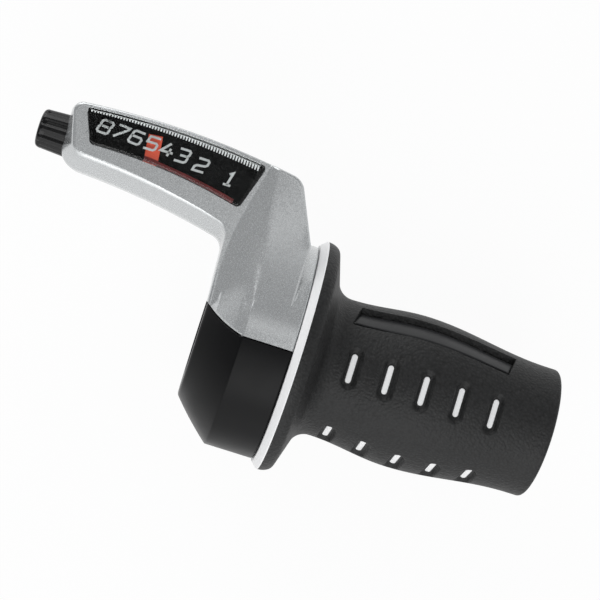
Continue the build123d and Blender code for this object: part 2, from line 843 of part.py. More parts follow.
def slot_cutter():
    """Recess with sloping walls round one white bar, carried on a little above the sleeve."""
    floor_length = bar_length + bar_width / 4
    floor_width = bar_width + bar_width / 4
    above = slot_depth / 2
    spread = 1 + above / slot_depth
    mouth_length = floor_length + spread * (slot_mouth_length - floor_length)
    mouth_width = floor_width + spread * (slot_mouth_width - floor_width)
    floor = SlotOverall(floor_length, floor_width, rotation=90)
    mouth = SlotOverall(mouth_length, mouth_width, rotation=90)
    recess = loft([Pos(0, 0, -slot_depth) * floor, Pos(0, 0, above) * mouth], ruled=True)
    return recess + grip_bar(overmould_gap)


def panel_prism(gap=0.0):
    """Slanted window that bounds the panel, standing outwards through the sleeve."""
    half_width = panel_width / 2 - gap
    half_length = panel_length / 2 - gap
    lean = panel_slant / 2 * half_width / (panel_width / 2)
    corners = [
        (half_length + lean, half_width), (-half_length + lean, half_width),
        (-half_length - lean, -half_width), (half_length - lean, -half_width),
    ]
    face = outline(Polyline(*corners, corners[0]))
    block = extrude(face, core_radius, dir=(0, 0, 1))
    return Rot(-panel_angle, 0, 0) * Pos(panel_station, 0, core_radius) * block


def panel_floor(inset):
    """The sleeve's own surface, moved sideways so that it is flush behind and sinks under the front edge."""
    start = (neck_station, 0)
    end = (end_station, 0)
    depth = inset - hypot(belly_radius, panel_step) + belly_radius
    body = turned(
        Line(start, (neck_station, neck_radius - depth)),
        sleeve_curve(depth),
        Line((end_station, grip_end_radius - depth), end),
        Line(end, start),
    )
    away = radians(panel_angle - degrees(panel_width / 2 / belly_radius) - 90)
    return Pos(0, panel_step * sin(away), panel_step * cos(away)) * body


def grip_rubber():
    """Rubber sleeve with its slots and the panel recess."""
    body = sleeve_blank()
    body -= [place * slot_cutter() for place in slot_places()]
    return body - (panel_prism() - panel_floor(panel_thickness))


def grip_badge():
    """Thin plate bedded on the floor of the panel recess."""
    plate = panel_prism(panel_edge_gap) & panel_floor(0.0)
    return plate - panel_floor(panel_thickness - panel_edge_gap)


def build_nodes():
    """Every separate piece by its name."""
    blank = housing_blank()
    return {
        "upper_housing": upper_housing(blank),
        "lower_clamp": lower_clamp(blank),
        "clamp_screw": clamp_screw(),
        "clamp_insert": clamp_insert(),
        "pod_cover": pod_cover(),
        "cover_screws": Compound([cover_screw(x, y) for x, y in cover_places()]),
        "window_lens": window_lens(),
        "dial_tray": dial_tray(),
        "indicator": indicator(),
        "cable_guide": cable_guide(),
        "adjuster_bushing": adjuster_bushing(),
        "barrel_adjuster": barrel_adjuster(),
        "adjuster_spring": adjuster_spring(),
        "grip_core": grip_core(),
        "cable_spool": cable_spool(),
        "detent_spring": detent_spring(),
        "grip_rubber": grip_rubber(),
        "grip_badge": grip_badge(),
    }


os.makedirs("parts", exist_ok=True)
for name, shape in build_nodes().items():
    export_step(shape, os.path.join("parts", name + ".step"))
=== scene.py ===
"""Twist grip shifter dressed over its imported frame, laid out as a Blender add-on and run as a script."""

from math import radians

import bmesh
import bpy
import numpy as np
from mathutils import Matrix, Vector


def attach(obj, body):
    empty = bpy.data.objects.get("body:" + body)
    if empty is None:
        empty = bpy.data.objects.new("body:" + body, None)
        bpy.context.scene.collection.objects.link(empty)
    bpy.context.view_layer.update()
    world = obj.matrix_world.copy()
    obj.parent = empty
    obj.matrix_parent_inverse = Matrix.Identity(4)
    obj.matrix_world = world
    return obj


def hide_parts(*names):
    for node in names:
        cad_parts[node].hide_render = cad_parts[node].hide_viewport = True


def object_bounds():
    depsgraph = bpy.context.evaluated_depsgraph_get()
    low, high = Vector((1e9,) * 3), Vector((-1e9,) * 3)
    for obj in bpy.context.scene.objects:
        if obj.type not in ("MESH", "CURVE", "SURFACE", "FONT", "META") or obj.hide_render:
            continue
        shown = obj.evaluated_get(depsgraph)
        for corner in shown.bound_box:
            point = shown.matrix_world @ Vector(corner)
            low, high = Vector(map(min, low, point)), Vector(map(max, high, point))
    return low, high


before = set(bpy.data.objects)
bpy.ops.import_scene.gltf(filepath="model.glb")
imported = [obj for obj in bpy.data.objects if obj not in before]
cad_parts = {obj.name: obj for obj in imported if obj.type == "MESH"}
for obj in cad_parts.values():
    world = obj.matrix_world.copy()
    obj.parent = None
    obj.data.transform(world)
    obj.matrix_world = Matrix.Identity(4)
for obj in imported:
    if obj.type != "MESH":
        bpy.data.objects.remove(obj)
CAD_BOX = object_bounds()

bl_info = {
    "name": "Twist Grip Shifter",
    "version": (1, 0, 0),
    "blender": (4, 5, 0),
    "location": "View3D > Sidebar > Shifter",
    "description": "Dresses the packed twist grip shifter with surfaces and finishes",
    "category": "Add Mesh",
}

MM = 0.001
SQUARE_ENOUGH = radians(0.25)
SHARP = radians(38)
HOUSING_SHARP = radians(30)
BUILT_MERGE = 2e-7
PACKED_MERGE = 2e-6
FEWEST_FACES = 1000
MID_GREY = (0.5, 0.5, 0.5, 1)
SOCKET_KINDS = {"Colour": "NodeSocketColor", "Normal": "NodeSocketVector"}

# Far centre that the indicator turns about, and where its tail ends and its marker starts, in millimetres;
# between these reaches the tail's painted shade fades into the marker's red
INDICATOR_CENTRE = (-52.5, -103.06)
TAIL_REACH = 135.15
MARKER_REACH = 135.35


def length(label, text, millimetres):
    """Length property, given in millimetres and held in metres."""
    return bpy.props.FloatProperty(name=label, description=text, default=millimetres * MM, unit="LENGTH")


def angle(label, text, degrees):
    """Angle property, given in degrees and held in radians."""
    return bpy.props.FloatProperty(name=label, description=text, default=radians(degrees), subtype="ANGLE")


def colour(label, text, value):
    """Colour property."""
    return bpy.props.FloatVectorProperty(
        name=label, description=text, default=value, size=3, min=0.0, max=1.0, subtype="COLOR"
    )


def count(label, text, value):
    """Whole number property."""
    return bpy.props.IntProperty(name=label, description=text, default=value, min=1)


def ratio(label, text, value):
    """Property without a unit, a share of something else."""
    return bpy.props.FloatProperty(name=label, description=text, default=value)


class GripSizes(bpy.types.PropertyGroup):
    """Sizes of the turning grip."""

    rim: length("Flange radius", "Outer radius of the rubber flange and the white ring", 26.9)
    core: length("Core radius", "Outer radius of the white core tube", 12.95)
    bore: length("Bore radius", "Radius of the core's bore", 11.2)
    neck: length("Neck radius", "Sleeve radius beside the flange", 16.1)
    belly: length("Belly radius", "Largest sleeve radius", 17.7)
    end: length("End radius", "Sleeve radius at the open end", 15.05)
    neck_at: length("Neck station", "Where the throat meets the sleeve", 9.0)
    belly_at: length("Belly station", "Where the sleeve is widest", 27.5)
    end_at: length("End station", "Where the sleeve runs straight", 56.5)
    long: length("Grip length", "Length of the rubber from the flange", 59.2)
    flange: length("Flange thickness", "Thickness of the rubber flange", 3.0)
    throat: length("Throat radius", "Radius of the hollow between the flange and the neck", 4.2)
    ring: length("Ring thickness", "Thickness of the white ring", 1.68)
    end_round: length("End rounding", "Radius of the open end's edge", 0.9)
    slot_depth: length("Slot depth", "Depth of the white bars below the sleeve", 1.3)
    slot_long: length("Slot length", "Length of a slot's mouth round the sleeve", 9.6)
    slot_wide: length("Slot width", "Width of a slot's mouth along the sleeve", 3.6)
    slot_wall: length("Slot wall", "Run of a slot's sloping wall", 0.85)
    slot_first: length("First slot", "Station of the first slot", 12.2)
    slot_pitch: length("Slot pitch", "Distance between slots along the sleeve", 8.2)
    slot_row: angle("Slot row", "Turn of the first row from straight up", 6.0)
    slot_step: angle("Row step", "Turn between rows of slots", 72.0)
    slot_rows: count("Slot rows", "Rows of slots round the sleeve", 4)
    slots: count("Slots in a row", "Slots along one row", 5)
    bar_long: length("Bar length", "Length of a white bar", 6.6)
    bar_wide: length("Bar width", "Width of a white bar", 1.35)
    panel_at: length("Panel station", "Middle of the panel along the sleeve", 28.9)
    panel_long: length("Panel length", "Length of the panel along the sleeve", 36.4)
    panel_wide: length("Panel width", "Width of the panel round the sleeve", 7.0)
    panel_slant: length("Panel slant", "Shift between the panel's long edges", 1.6)
    panel_step: length("Panel shift", "Sideways shift of the panel's floor", 3.8)
    panel_thick: length("Plate thickness", "Thickness of the plate in the panel", 0.6)
    panel_turn: angle("Panel turn", "Turn of the panel from straight up", 56.0)


class HousingSizes(bpy.types.PropertyGroup):
    """Sizes of the housing's collar and pod."""

    start: length("Inboard end", "Station of the collar's inboard face", -22.1)
    knee: length("Bevel end", "Station where the bevel meets the band", -13.0)
    stop: length("Outboard end", "Station of the collar's outboard face", -1.8)
    end: length("End radius", "Collar radius at its inboard face", 16.2)
    band: length("Band radius", "Radius of the collar's band", 25.0)
    bevel_bow: length("Bevel bow", "Bow of the collar's bevel", 0.25)
    collar_round: length("Collar edges", "Rounding of the collar's edges", 0.55)
    knee_edge: length("Knee edge", "Rounding of the collar between bevel and band", 0.22)
    arm_end: length("Arm end", "Station of the arm's left end", -63.1)
    reach: length("Arm reach", "Distance of the arm's front edge from the bar axis", 40.2)
    rear_y: length("Arm rear", "Distance of the arm's rear edge from the bar axis", 24.5)
    rear_arc: length("Rear arc", "Radius of the arm's rear edge", 180.0)
    rear_apex: length("Rear apex", "Station where the rear edge is furthest forward", -65.0)
    bevel_run: length("Bevel run", "Width of the arm's bevel in plan", 3.15)
    bevel_drop: length("Bevel drop", "Height of the arm's bevel", 7.0)
    bevel_end: length("End bevel", "Width of the bevel at the arm's end", 3.6)
    draft: length("Draft", "Draft of the front wall", 0.3)
    top: length("Arm top", "Height of the arm's top face", 16.2)
    neck_left: length("Neck left", "Station of the neck's left side", -21.95)
    neck_right: length("Neck right", "Station of the neck's right side", -4.6)
    neck_flare: length("Neck flare", "Flare of the neck's left side towards the arm", 1.1)
    neck_lean: angle("Neck lean", "Lean of the neck's right side", 24.2)
    shoulder: length("Shoulder", "Where the neck's right side starts to lean", 24.125)
    shoulder_round: length("Shoulder rounding", "Radius of that bend", 2.0)
    outer_corner: length("Outer corner", "Radius of the front right corner", 4.0)
    end_corner: length("End corner", "Radius of the front left corner", 2.2)
    end_lower: length("Rear corner", "Radius of the rear left corner at the base", 5.0)
    top_lower: length("Upper rear corner", "Radius of the rear left corner at the top", 3.5)
    inner_corner: length("Inner corner", "Radius between arm and neck", 3.3)
    crest_rise: length("Crest rise", "Height of the crest over the arm at its front end", 1.5)
    crest_start: length("Crest start", "Where the crest leaves the collar", 9.0)
    crease_drift: length("Crease drift", "Shift of the crease towards the front", 4.0)
    facet_set_in: length("Facet foot", "Set-in of the facet's foot from the neck's side", 0.35)
    facet_turn: length("Facet turn", "Where the facet's foot starts to drift", 20.0)
    facet_drift: length("Facet drift", "Shift of the facet's foot towards the front", 3.6)
    facet_lift: ratio("Facet lift", "Slope at the facet's foot as a share of its whole slope", 0.5)
    facet_dip: length("Facet dip", "Set-down of the facet under the collar", 0.15)
    rim_round: length("Rim rounding", "Rounding of the rim round the pod's roof", 0.85)
    knee_round: length("Knee rounding", "Rounding where wall and bevel meet", 1.3)
    crease_round: length("Crease rounding", "Rounding of the facet's crease and foot", 0.8)
    fit: length("Fit", "How far the soft surface lies inside the packed one", 0.03)


class AdjusterSizes(bpy.types.PropertyGroup):
    """Sizes of the barrel adjuster."""

    y: length("Axis forward", "Adjuster axis forward of the bar axis", 31.2)
    z: length("Axis height", "Adjuster axis above the bar axis", 5.8)
    face: length("Knob face", "Station of the knob's inner face", -60.6)
    long: length("Knob length", "Length of the knob", 8.3)
    root: length("Root radius", "Knob radius at its inner face", 4.85)
    tip: length("Tip radius", "Knob radius at its tip", 4.45)
    tip_round: length("Tip rounding", "Radius of the tip's edge", 1.1)
    shank: length("Shank radius", "Radius of the threaded shank", 2.5)
    shank_long: length("Shank length", "Length of the threaded shank", 12.0)
    socket: length("Socket radius", "Radius of the ferrule socket", 2.55)
    socket_deep: length("Socket depth", "Depth of the ferrule socket", 5.0)
    hole: length("Cable hole", "Radius of the cable hole", 0.95)
    flute_deep: length("Flute depth", "Depth of the flutes between the ribs", 0.42)
    thread_pitch: length("Thread pitch", "Pitch of the shank's thread", 0.8)
    flutes: count("Flutes", "Flutes round the knob", 10)


class WindowSizes(bpy.types.PropertyGroup):
    """Sizes of the gear window and its dial."""

    top: length("Lens top", "Height of the lens's upper face", 16.7)
    base: length("Lens base", "Height of the lens's lower face", 14.1)
    edge: length("Front edge", "Rounding of the lens's upper edge in front", 0.40)
    rear_edge: length("Rear edge", "Rounding of the lens's upper edge behind and at its ends", 0.6)
    left: length("Left end", "Station of the lens's front left corner", -59.5)
    right: length("Right end", "Station of the lens's front right corner", -18.7)
    left_slant: length("Left slant", "Lean of the left end", 3.0)
    right_slant: length("Right slant", "Lean of the right end", 3.3)
    wide_left: length("Left width", "Width of the lens at its left end", 7.5)
    wide_right: length("Right width", "Width of the lens at its right end", 10.4)
    low_bow: length("Rear bow", "Bow of the rear edge", 1.25)
    corner: length("Corner radius", "Radius of the lens's corners", 1.1)
    rim: length("Front rim", "Margin of the pod in front of the lens", 1.15)
    arc: length("Front arc", "Radius of the pod's front edge", 180.0)
    apex: length("Front apex", "Station where the front edge reaches furthest", -41.0)
    reach: length("Front reach", "Distance of the front edge from the bar axis", 40.2)
    digit_high: length("Numeral height", "Height of a gear number", 3.3)
    digit_wide: length("Numeral width", "Width of a gear number", 2.95)
    digit_line: length("Numeral stroke", "Width of a gear number's stroke", 0.5)
    digit_at: length("Numeral height in the window", "Height of the printed numbers", 13.98)
    tooth: length("Tooth pitch", "Pitch of the toothed strip", 0.64)
    strip_high: length("Strip height", "Height of the rebate that holds the toothed strip", 0.45)
    strip_left: length("Strip width left", "Width of the toothed strip at its left end", 0.36)
    strip_right: length("Strip width right", "Width of the toothed strip at its right end", 1.2)


class Finishes(bpy.types.PropertyGroup):
    """Colours of the finishes."""

    silver: colour("Silver lacquer", "Colour of the silver housing", (0.55, 0.565, 0.57))
    black: colour("Black plastic", "Colour of the black mouldings", (0.0045, 0.0046, 0.005))
    rubber: colour("Rubber", "Colour of the grip", (0.0125, 0.0128, 0.013))
    white: colour("White plastic", "Colour of the core", (0.94, 0.94, 0.94))
    red: colour("Marker red", "Colour of the indicator", (0.72, 0.085, 0.035))
    charcoal: colour("Plate", "Colour of the panel's plate", (0.016, 0.0165, 0.0175))
    # Painted shade: the indicator's tail is given this darker red where the lens's edge shades it.
    tail_shade_red: colour("Tail red", "Colour of the indicator's tail", (0.15, 0.006, 0.006))
    print_grey: colour("Numerals", "Colour of the gear numbers", (0.43, 0.44, 0.44))


def unit(vector):
    """Vector at length one."""
    return vector / np.linalg.norm(vector)


def smoothstep(t):
    """Cubic ease from 0 to 1: 3 t squared less 2 t cubed."""
    t = np.clip(t, 0.0, 1.0)
    return t * t * (3 - 2 * t)


def graded(start, stop, features, coarse):
    """Grid lines whose spacing falls to each feature's own fine step within its half width."""
    samples = np.linspace(start, stop, 6001)
    step = np.full_like(samples, coarse)
    for centre, half, fine in features:
        away = np.abs(samples - centre) - half
        step = np.minimum(step, fine + (coarse - fine) * smoothstep(away / (4 * coarse)))
    middle = 0.5 * (step[1:] + step[:-1])
    run = np.concatenate([[0.0], np.cumsum(np.diff(samples) / middle)])
    lines = int(np.ceil(run[-1])) + 1
    return np.interp(np.linspace(0.0, run[-1], lines), run, samples)


def grid_quads(points, wrap_rows, wrap_cols):
    """Quads between neighbouring points of a grid, closed round where asked."""
    rows, cols = points.shape[:2]
    row = np.arange(rows if wrap_rows else rows - 1)[:, None]
    col = np.arange(cols if wrap_cols else cols - 1)[None, :]
    next_row = (row + 1) % rows
    next_col = (col + 1) % cols
    corners = [row * cols + col, row * cols + next_col, next_row * cols + next_col, next_row * cols + col]
    return np.stack(corners, axis=-1).reshape(-1, 4)


def closed_patch(top, low):
    """Two like grids of points as the faces of one closed sheet, with a skirt round its edge."""
    rows, cols = top.shape[:2]
    size = rows * cols
    faces = grid_quads(top, False, False)
    index = np.arange(size).reshape(rows, cols)
    loop = np.concatenate([index[0, :-1], index[:-1, -1], index[-1, :0:-1], index[:0:-1, 0]])
    after = np.roll(loop, -1)
    skirt = np.stack([loop, after, after + size, loop + size], axis=1)
    points = np.concatenate([top.reshape(-1, 3), low.reshape(-1, 3)])
    return points, np.concatenate([faces, faces + size, skirt])


def lifted(plan, z):
    """Plan points at one height, or at a height each."""
    return np.column_stack([plan, np.broadcast_to(z, len(plan))])


def wrapped(turn):
    """Turns brought between minus and plus half a turn."""
    return (turn + np.pi) % (2 * np.pi) - np.pi


def spun(x, radius, turn):
    """Points about the bar axis: station, radius times sine and radius times cosine of the turn."""
    return np.stack([x, radius * np.sin(turn), radius * np.cos(turn)], axis=-1)


def stood(station, across, height, turn):
    """Points at a height over the bar axis and an offset across it, turned about the axis together."""
    y = across * np.cos(turn) + height * np.sin(turn)
    z = height * np.cos(turn) - across * np.sin(turn)
    return np.stack([station, y, z], axis=-1)


def quadratic(start, pull, stop, t):
    """Quadratic curve: start times (1 - t) squared, pull times 2 t (1 - t) and stop times t squared."""
    return np.asarray(start) * (1 - t) ** 2 + 2 * np.asarray(pull) * t * (1 - t) + np.asarray(stop) * t ** 2


def arc_points(centre, radius, start, stop, steps):
    """Circular arc in a half section: centre plus radius times cosine and sine."""
    turn = np.radians(np.linspace(start, stop, steps))
    return np.stack([centre[0] + radius * np.cos(turn), centre[1] + radius * np.sin(turn)], axis=1)


def straight(start, stop, steps):
    """Evenly spaced points on a straight line."""
    share = np.linspace(0.0, 1.0, steps)[:, None]
    return np.asarray(start) * (1 - share) + np.asarray(stop) * share


def hermite(start, start_way, stop, stop_way, steps):
    """Cubic curve between two points with the given directions, as long as the chord."""
    start, stop = np.asarray(start), np.asarray(stop)
    chord = np.linalg.norm(stop - start)
    lead = chord * np.asarray(start_way) / np.linalg.norm(start_way)
    trail = chord * np.asarray(stop_way) / np.linalg.norm(stop_way)
    t = np.linspace(0.0, 1.0, steps)[:, None]
    ahead = t ** 2 * (3 - 2 * t)
    return start * (1 - ahead) + stop * ahead + lead * t * (1 - t) ** 2 - trail * t ** 2 * (1 - t)


def turned(profile, turns):
    """Half section carried round the bar axis: (x, r) becomes (x, r sin, r cos)."""
    x = np.repeat(profile[:, :1], len(turns), axis=1)
    return spun(x, profile[:, 1:], turns[None, :])


def full_turn(steps):
    """Evenly spaced turns once round."""
    return np.linspace(-np.pi, np.pi, steps, endpoint=False)


def build_mesh(name, points, faces):
    """Mesh from points and faces, with doubles merged, faces turned outwards and edges sharp by angle."""
    mesh = bpy.data.meshes.new(name)
    mesh.from_pydata(points.reshape(-1, 3).tolist(), [], [list(face) for face in faces])
    tidy_mesh(mesh, SHARP, BUILT_MERGE, True)
    return mesh


def tidy_mesh(mesh, sharp, merge, outwards):
    """Merges doubles, turns faces outwards where asked and shades smoothly up to an angle."""
    work = bmesh.new()
    work.from_mesh(mesh)
    bmesh.ops.remove_doubles(work, verts=work.verts, dist=merge)
    bmesh.ops.dissolve_degenerate(work, edges=work.edges, dist=merge / 2)
    if outwards:
        bmesh.ops.recalc_face_normals(work, faces=work.faces)
    work.to_mesh(mesh)
    work.free()
    mesh.shade_smooth()
    mesh.set_sharp_from_angle(angle=sharp)


def add_piece(mesh, body, material, nodes=()):
    """Puts a mesh into the scene on a body, finish and the nodes it stands for."""
    piece = bpy.data.objects.new(mesh.name, mesh)
    bpy.context.scene.collection.objects.link(piece)
    mesh.materials.clear()
    mesh.materials.append(material)
    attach(piece, body)
    if nodes:
        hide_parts(*nodes)
    return piece


def join_grids(grids):
    """Several separate point and face sets as one."""
    points, faces, offset = [], [], 0
    for grid_points, grid_faces in grids:
        flat = grid_points.reshape(-1, 3)
        points.append(flat)
        faces.extend([[index + offset for index in face] for face in grid_faces])
        offset += len(flat)
    return np.concatenate(points), faces


def stacked_rings(rings):
    """Closed stack of like rings, one above the other, with flat caps."""
    levels, around = rings.shape[:2]
    faces = grid_quads(rings, False, True).tolist()
    faces.append(list(range(around))[::-1])
    faces.append([(levels - 1) * around + index for index in range(around)])
    return rings, faces


def stadium(length_all, width_all, steps):
    """Outline of a slot: two half circles joined by straight sides, long way in the first axis."""
    radius = width_all / 2
    half = max(length_all / 2 - radius, 0.0)
    turn = np.linspace(-np.pi / 2, np.pi / 2, steps)
    right = np.stack([half + radius * np.cos(turn), radius * np.sin(turn)], axis=1)
    return np.concatenate([right, -right])


def cad_mesh(node):
    """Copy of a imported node's mesh with its loose triangles merged."""
    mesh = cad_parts[node].data.copy()
    mesh.name = node
    tidy_mesh(mesh, HOUSING_SHARP, PACKED_MERGE, False)
    return mesh


def feed(tree, node, inputs):
    """Links each input that is given as a socket, and sets each that is given as a value."""
    for key, value in inputs.items():
        if isinstance(value, bpy.types.NodeSocket):
            tree.links.new(value, node.inputs[key])
        else:
            node.inputs[key].default_value = value


def node_of(tree, kind, inputs=None, **settings):
    """Adds a shader node with its own settings, and feeds its inputs."""
    node = tree.nodes.new(kind)
    for key, value in settings.items():
        setattr(node, key, value)
    feed(tree, node, inputs or {})
    return node


def math_of(tree, operation, *values):
    """Result of a math node on numbers or sockets."""
    return node_of(tree, "ShaderNodeMath", dict(enumerate(values)), operation=operation).outputs[0]


def vector_of(tree, operation, *values):
    """Result of a vector math node on vectors or sockets."""
    return node_of(tree, "ShaderNodeVectorMath", dict(enumerate(values)), operation=operation).outputs[0]


def scaled(tree, value, factor):
    """A colour or vector times a factor."""
    return node_of(tree, "ShaderNodeVectorMath", {0: value, "Scale": factor}, operation="SCALE").outputs[0]


def ranged(tree, value, low, high, first=0.0, last=1.0):
    """A value carried evenly from its range, first to last, to the range low to high."""
    inputs = {"Value": value, "From Min": first, "From Max": last, "To Min": low, "To Max": high}
    return node_of(tree, "ShaderNodeMapRange", inputs).outputs[0]


def place_in(tree):
    """Place on the object, in its own axes."""
    return node_of(tree, "ShaderNodeTexCoord").outputs["Object"]


def noise_of(tree, place, scale, detail):
    """Noise value at a place."""
    inputs = {"Vector": place, "Scale": scale, "Detail": detail}
    return node_of(tree, "ShaderNodeTexNoise", inputs).outputs["Fac"]


def new_group(name, inputs, outputs):
    """Shader node group with named sockets: gives the group, its input sockets and its output node."""
    group = bpy.data.node_groups.new(name, "ShaderNodeTree")
    for label, value in inputs.items():
        kind = SOCKET_KINDS.get(label, "NodeSocketFloat")
        group.interface.new_socket(label, in_out="INPUT", socket_type=kind).default_value = value
    for label in outputs:
        kind = SOCKET_KINDS.get(label, "NodeSocketFloat")
        group.interface.new_socket(label, in_out="OUTPUT", socket_type=kind)
    return group, node_of(group, "NodeGroupInput").outputs, node_of(group, "NodeGroupOutput")


def flake_group():
    """Metallic flake: each small cell tilts the surface its own way and has its own brightness."""
    inputs = {"Colour": MID_GREY, "Scale": 4000.0, "Tilt": 0.1, "Sparkle": 0.2}
    group, given, outs = new_group("Metal flake", inputs, ("Colour", "Normal", "Roughness"))
    cell_inputs = {"Vector": place_in(group), "Scale": given["Scale"]}
    cells = node_of(group, "ShaderNodeTexVoronoi", cell_inputs).outputs["Color"]
    tilt = scaled(group, vector_of(group, "SUBTRACT", cells, (0.5, 0.5, 0.5)), given["Tilt"])
    normal = node_of(group, "ShaderNodeNewGeometry").outputs["Normal"]
    split = node_of(group, "ShaderNodeSeparateColor", {0: cells}).outputs
    low = math_of(group, "SUBTRACT", 1.0, given["Sparkle"])
    high = math_of(group, "ADD", 1.0, given["Sparkle"])
    feed(group, outs, {
        "Colour": scaled(group, given["Colour"], ranged(group, split[0], low, high)),
        "Normal": vector_of(group, "NORMALIZE", vector_of(group, "ADD", normal, tilt)),
        "Roughness": ranged(group, split[1], 0.2, 0.3),
    })
    return group


def moulded_group():
    """Moulded grain: fine noise height with slow patches of colour and roughness."""
    inputs = {"Colour": MID_GREY, "Scale": 3000.0, "Patches": 120.0, "Contrast": 0.2, "Rough low": 0.35,
              "Rough high": 0.5}
    group, given, outs = new_group("Moulded grain", inputs, ("Colour", "Height", "Roughness"))
    place = place_in(group)
    fine = noise_of(group, place, given["Scale"], 3.0)
    slow = noise_of(group, place, given["Patches"], 4.0)
    centred = math_of(group, "SUBTRACT", math_of(group, "ADD", fine, slow), 1.0)
    bright = math_of(group, "MULTIPLY_ADD", centred, given["Contrast"], 1.0)
    feed(group, outs, {
        "Colour": scaled(group, given["Colour"], bright),
        "Height": fine,
        "Roughness": ranged(group, slow, given["Rough low"], given["Rough high"], 0.3, 0.7),
    })
    return group


def pebble_group():
    """Pebbled rubber: rounded cells of two sizes as height, with painted shade: the colour darker in the
    grooves between them and lighter on their tops.
    """
    inputs = {"Colour": (0.05, 0.05, 0.05, 1), "Scale": 1700.0}
    group, given, outs = new_group("Pebble", inputs, ("Colour", "Height", "Roughness"))
    place = place_in(group)
    cell_inputs = {"Vector": place, "Scale": given["Scale"], "Smoothness": 0.6}
    cells = node_of(group, "ShaderNodeTexVoronoi", cell_inputs, feature="SMOOTH_F1").outputs["Distance"]
    noise = noise_of(group, place, math_of(group, "MULTIPLY", given["Scale"], 0.55), 5.0)
    height = math_of(group, "SUBTRACT", noise, cells)
    feed(group, outs, {
        # Painted shade: the colour follows the height, darker down in the grooves and lighter on the tops.
        "Colour": scaled(group, given["Colour"], ranged(group, height, 0.55, 1.45, -0.4, 0.5)),
        "Height": height,
        "Roughness": ranged(group, noise, 0.42, 0.66),
    })
    return group


GROUPS = {}


def group_named(name):
    """One of the shared effects, built the first time it is asked for."""
    makers = {"flake": flake_group, "moulded": moulded_group, "pebble": pebble_group}
    if name not in GROUPS:
        GROUPS[name] = makers[name]()
    return GROUPS[name]


def finish(name, effect, colour_value, bump, bump_depth, shader_values, effect_values):
    """Material from one shared effect: its colour, roughness and normal or height feed the shader."""
    material = bpy.data.materials.new(name)
    material.use_nodes = True
    tree = material.node_tree
    inputs = {"Colour": (*colour_value, 1.0), **effect_values}
    made = node_of(tree, "ShaderNodeGroup", inputs, node_tree=group_named(effect)).outputs
    values = {"Base Color": made["Colour"], "Roughness": made["Roughness"], **shader_values}
    if "Normal" in made:
        values["Normal"] = made["Normal"]
    elif bump:
        relief = {"Strength": bump, "Distance": bump_depth * MM, "Height": made["Height"]}
        values["Normal"] = node_of(tree, "ShaderNodeBump", relief).outputs["Normal"]
    feed(tree, tree.nodes["Principled BSDF"], values)
    return material


def pass_shadows(tree):
    """Lets light pass straight through a clear finish to what lies below."""
    shadow = node_of(tree, "ShaderNodeLightPath").outputs["Is Shadow Ray"]
    through = node_of(tree, "ShaderNodeBsdfTransparent").outputs[0]
    shaders = {0: shadow, 1: tree.nodes["Principled BSDF"].outputs[0], 2: through}
    mix = node_of(tree, "ShaderNodeMixShader", shaders).outputs[0]
    feed(tree, tree.nodes["Material Output"], {"Surface": mix})


def paint_tail_shade(tree, shades):
    """Paints shade on the indicator's tail, the part that lies nearer to the far centre it turns about: a
    darker red where the lens's edge shades it.
    """
    flat = vector_of(tree, "MULTIPLY", place_in(tree), (1, 1, 0))
    centre = (INDICATOR_CENTRE[0] * MM, INDICATOR_CENTRE[1] * MM, 0)
    away = node_of(tree, "ShaderNodeVectorMath", {0: flat, 1: centre}, operation="DISTANCE").outputs["Value"]
    outside = ranged(tree, away, 0.0, 1.0, TAIL_REACH * MM, MARKER_REACH * MM)
    colours = {"Factor": outside, "A": (*shades.tail_shade_red, 1), "B": (*shades.red, 1)}
    mix = node_of(tree, "ShaderNodeMix", colours, data_type="RGBA").outputs["Result"]
    effect = next(node for node in tree.nodes if node.type == "GROUP")
    feed(tree, effect, {"Colour": mix})


MATERIALS = {}


def grain(low, high, contrast=0.2, scale=3000.0):
    """Values of the moulded grain: its roughness from low to high, its contrast and its scale."""
    return {"Rough low": low, "Rough high": high, "Contrast": contrast, "Scale": scale}


def finish_values(shades):
    """Finishes by name: title, effect, colour, bump, its depth in millimetres, shader and effect values."""
    shine = "Specular IOR Level"
    lacquer = {"Metallic": 0.55, "Coat Weight": 0.3, "Coat Roughness": 0.15}
    flake = {"Scale": 6500.0, "Tilt": 0.09, "Sparkle": 0.12}
    metal = {"Metallic": 1.0}
    glass = {"Transmission Weight": 1.0, "IOR": 1.3}
    moulded = {
        "black": (
            "Black moulding", shades.black, 0.12, 0.06, {shine: 0.12}, grain(0.30, 0.42, scale=5200.0)
        ),
        "gloss_black": (
            "Gloss black moulding", shades.black, 0.08, 0.06, {shine: 0.28}, grain(0.16, 0.30, scale=2600.0)
        ),
        "dial": (
            "Dial black", (0.005, 0.0052, 0.0052), 0.05, 0.04, {shine: 0.06}, grain(0.5, 0.62, scale=6000.0)
        ),
        "white": ("White plastic", shades.white, 0.05, 0.04, {}, grain(0.35, 0.45, 0.05)),
        "red": ("Marker red", shades.red, 0.05, 0.04, {}, grain(0.40, 0.5, 0.12)),
        "numeral": ("Numeral print", shades.print_grey, 0.05, 0.02, {}, grain(0.5, 0.6, 0.1)),
        "charcoal": (
            "Panel plate", shades.charcoal, 0.15, 0.05, {shine: 0.22}, grain(0.38, 0.5, scale=4200.0)
        ),
        "steel": ("Steel", (0.50, 0.50, 0.51), 0.04, 0.03, metal, grain(0.28, 0.42, 0.15)),
        "brass": ("Brass", (0.62, 0.46, 0.20), 0.04, 0.03, metal, grain(0.26, 0.4, 0.15)),
        "prism": ("Toothed strip", (0.80, 0.81, 0.81), 0.1, 0.05, {}, grain(0.12, 0.25, 0.08)),
        "clear": ("Clear window", (0.94, 0.96, 0.96), 0, 0, glass, grain(0.0, 0.0, 0.03)),
    }
    return {
        "silver": ("Silver lacquer", "flake", shades.silver, 0, 0, lacquer, flake),
        "rubber": ("Pebbled rubber", "pebble", shades.rubber, 0.8, 0.14, {shine: 0.3}, {"Scale": 1700.0}),
        **{name: (title, "moulded", *values) for name, (title, *values) in moulded.items()},
    }


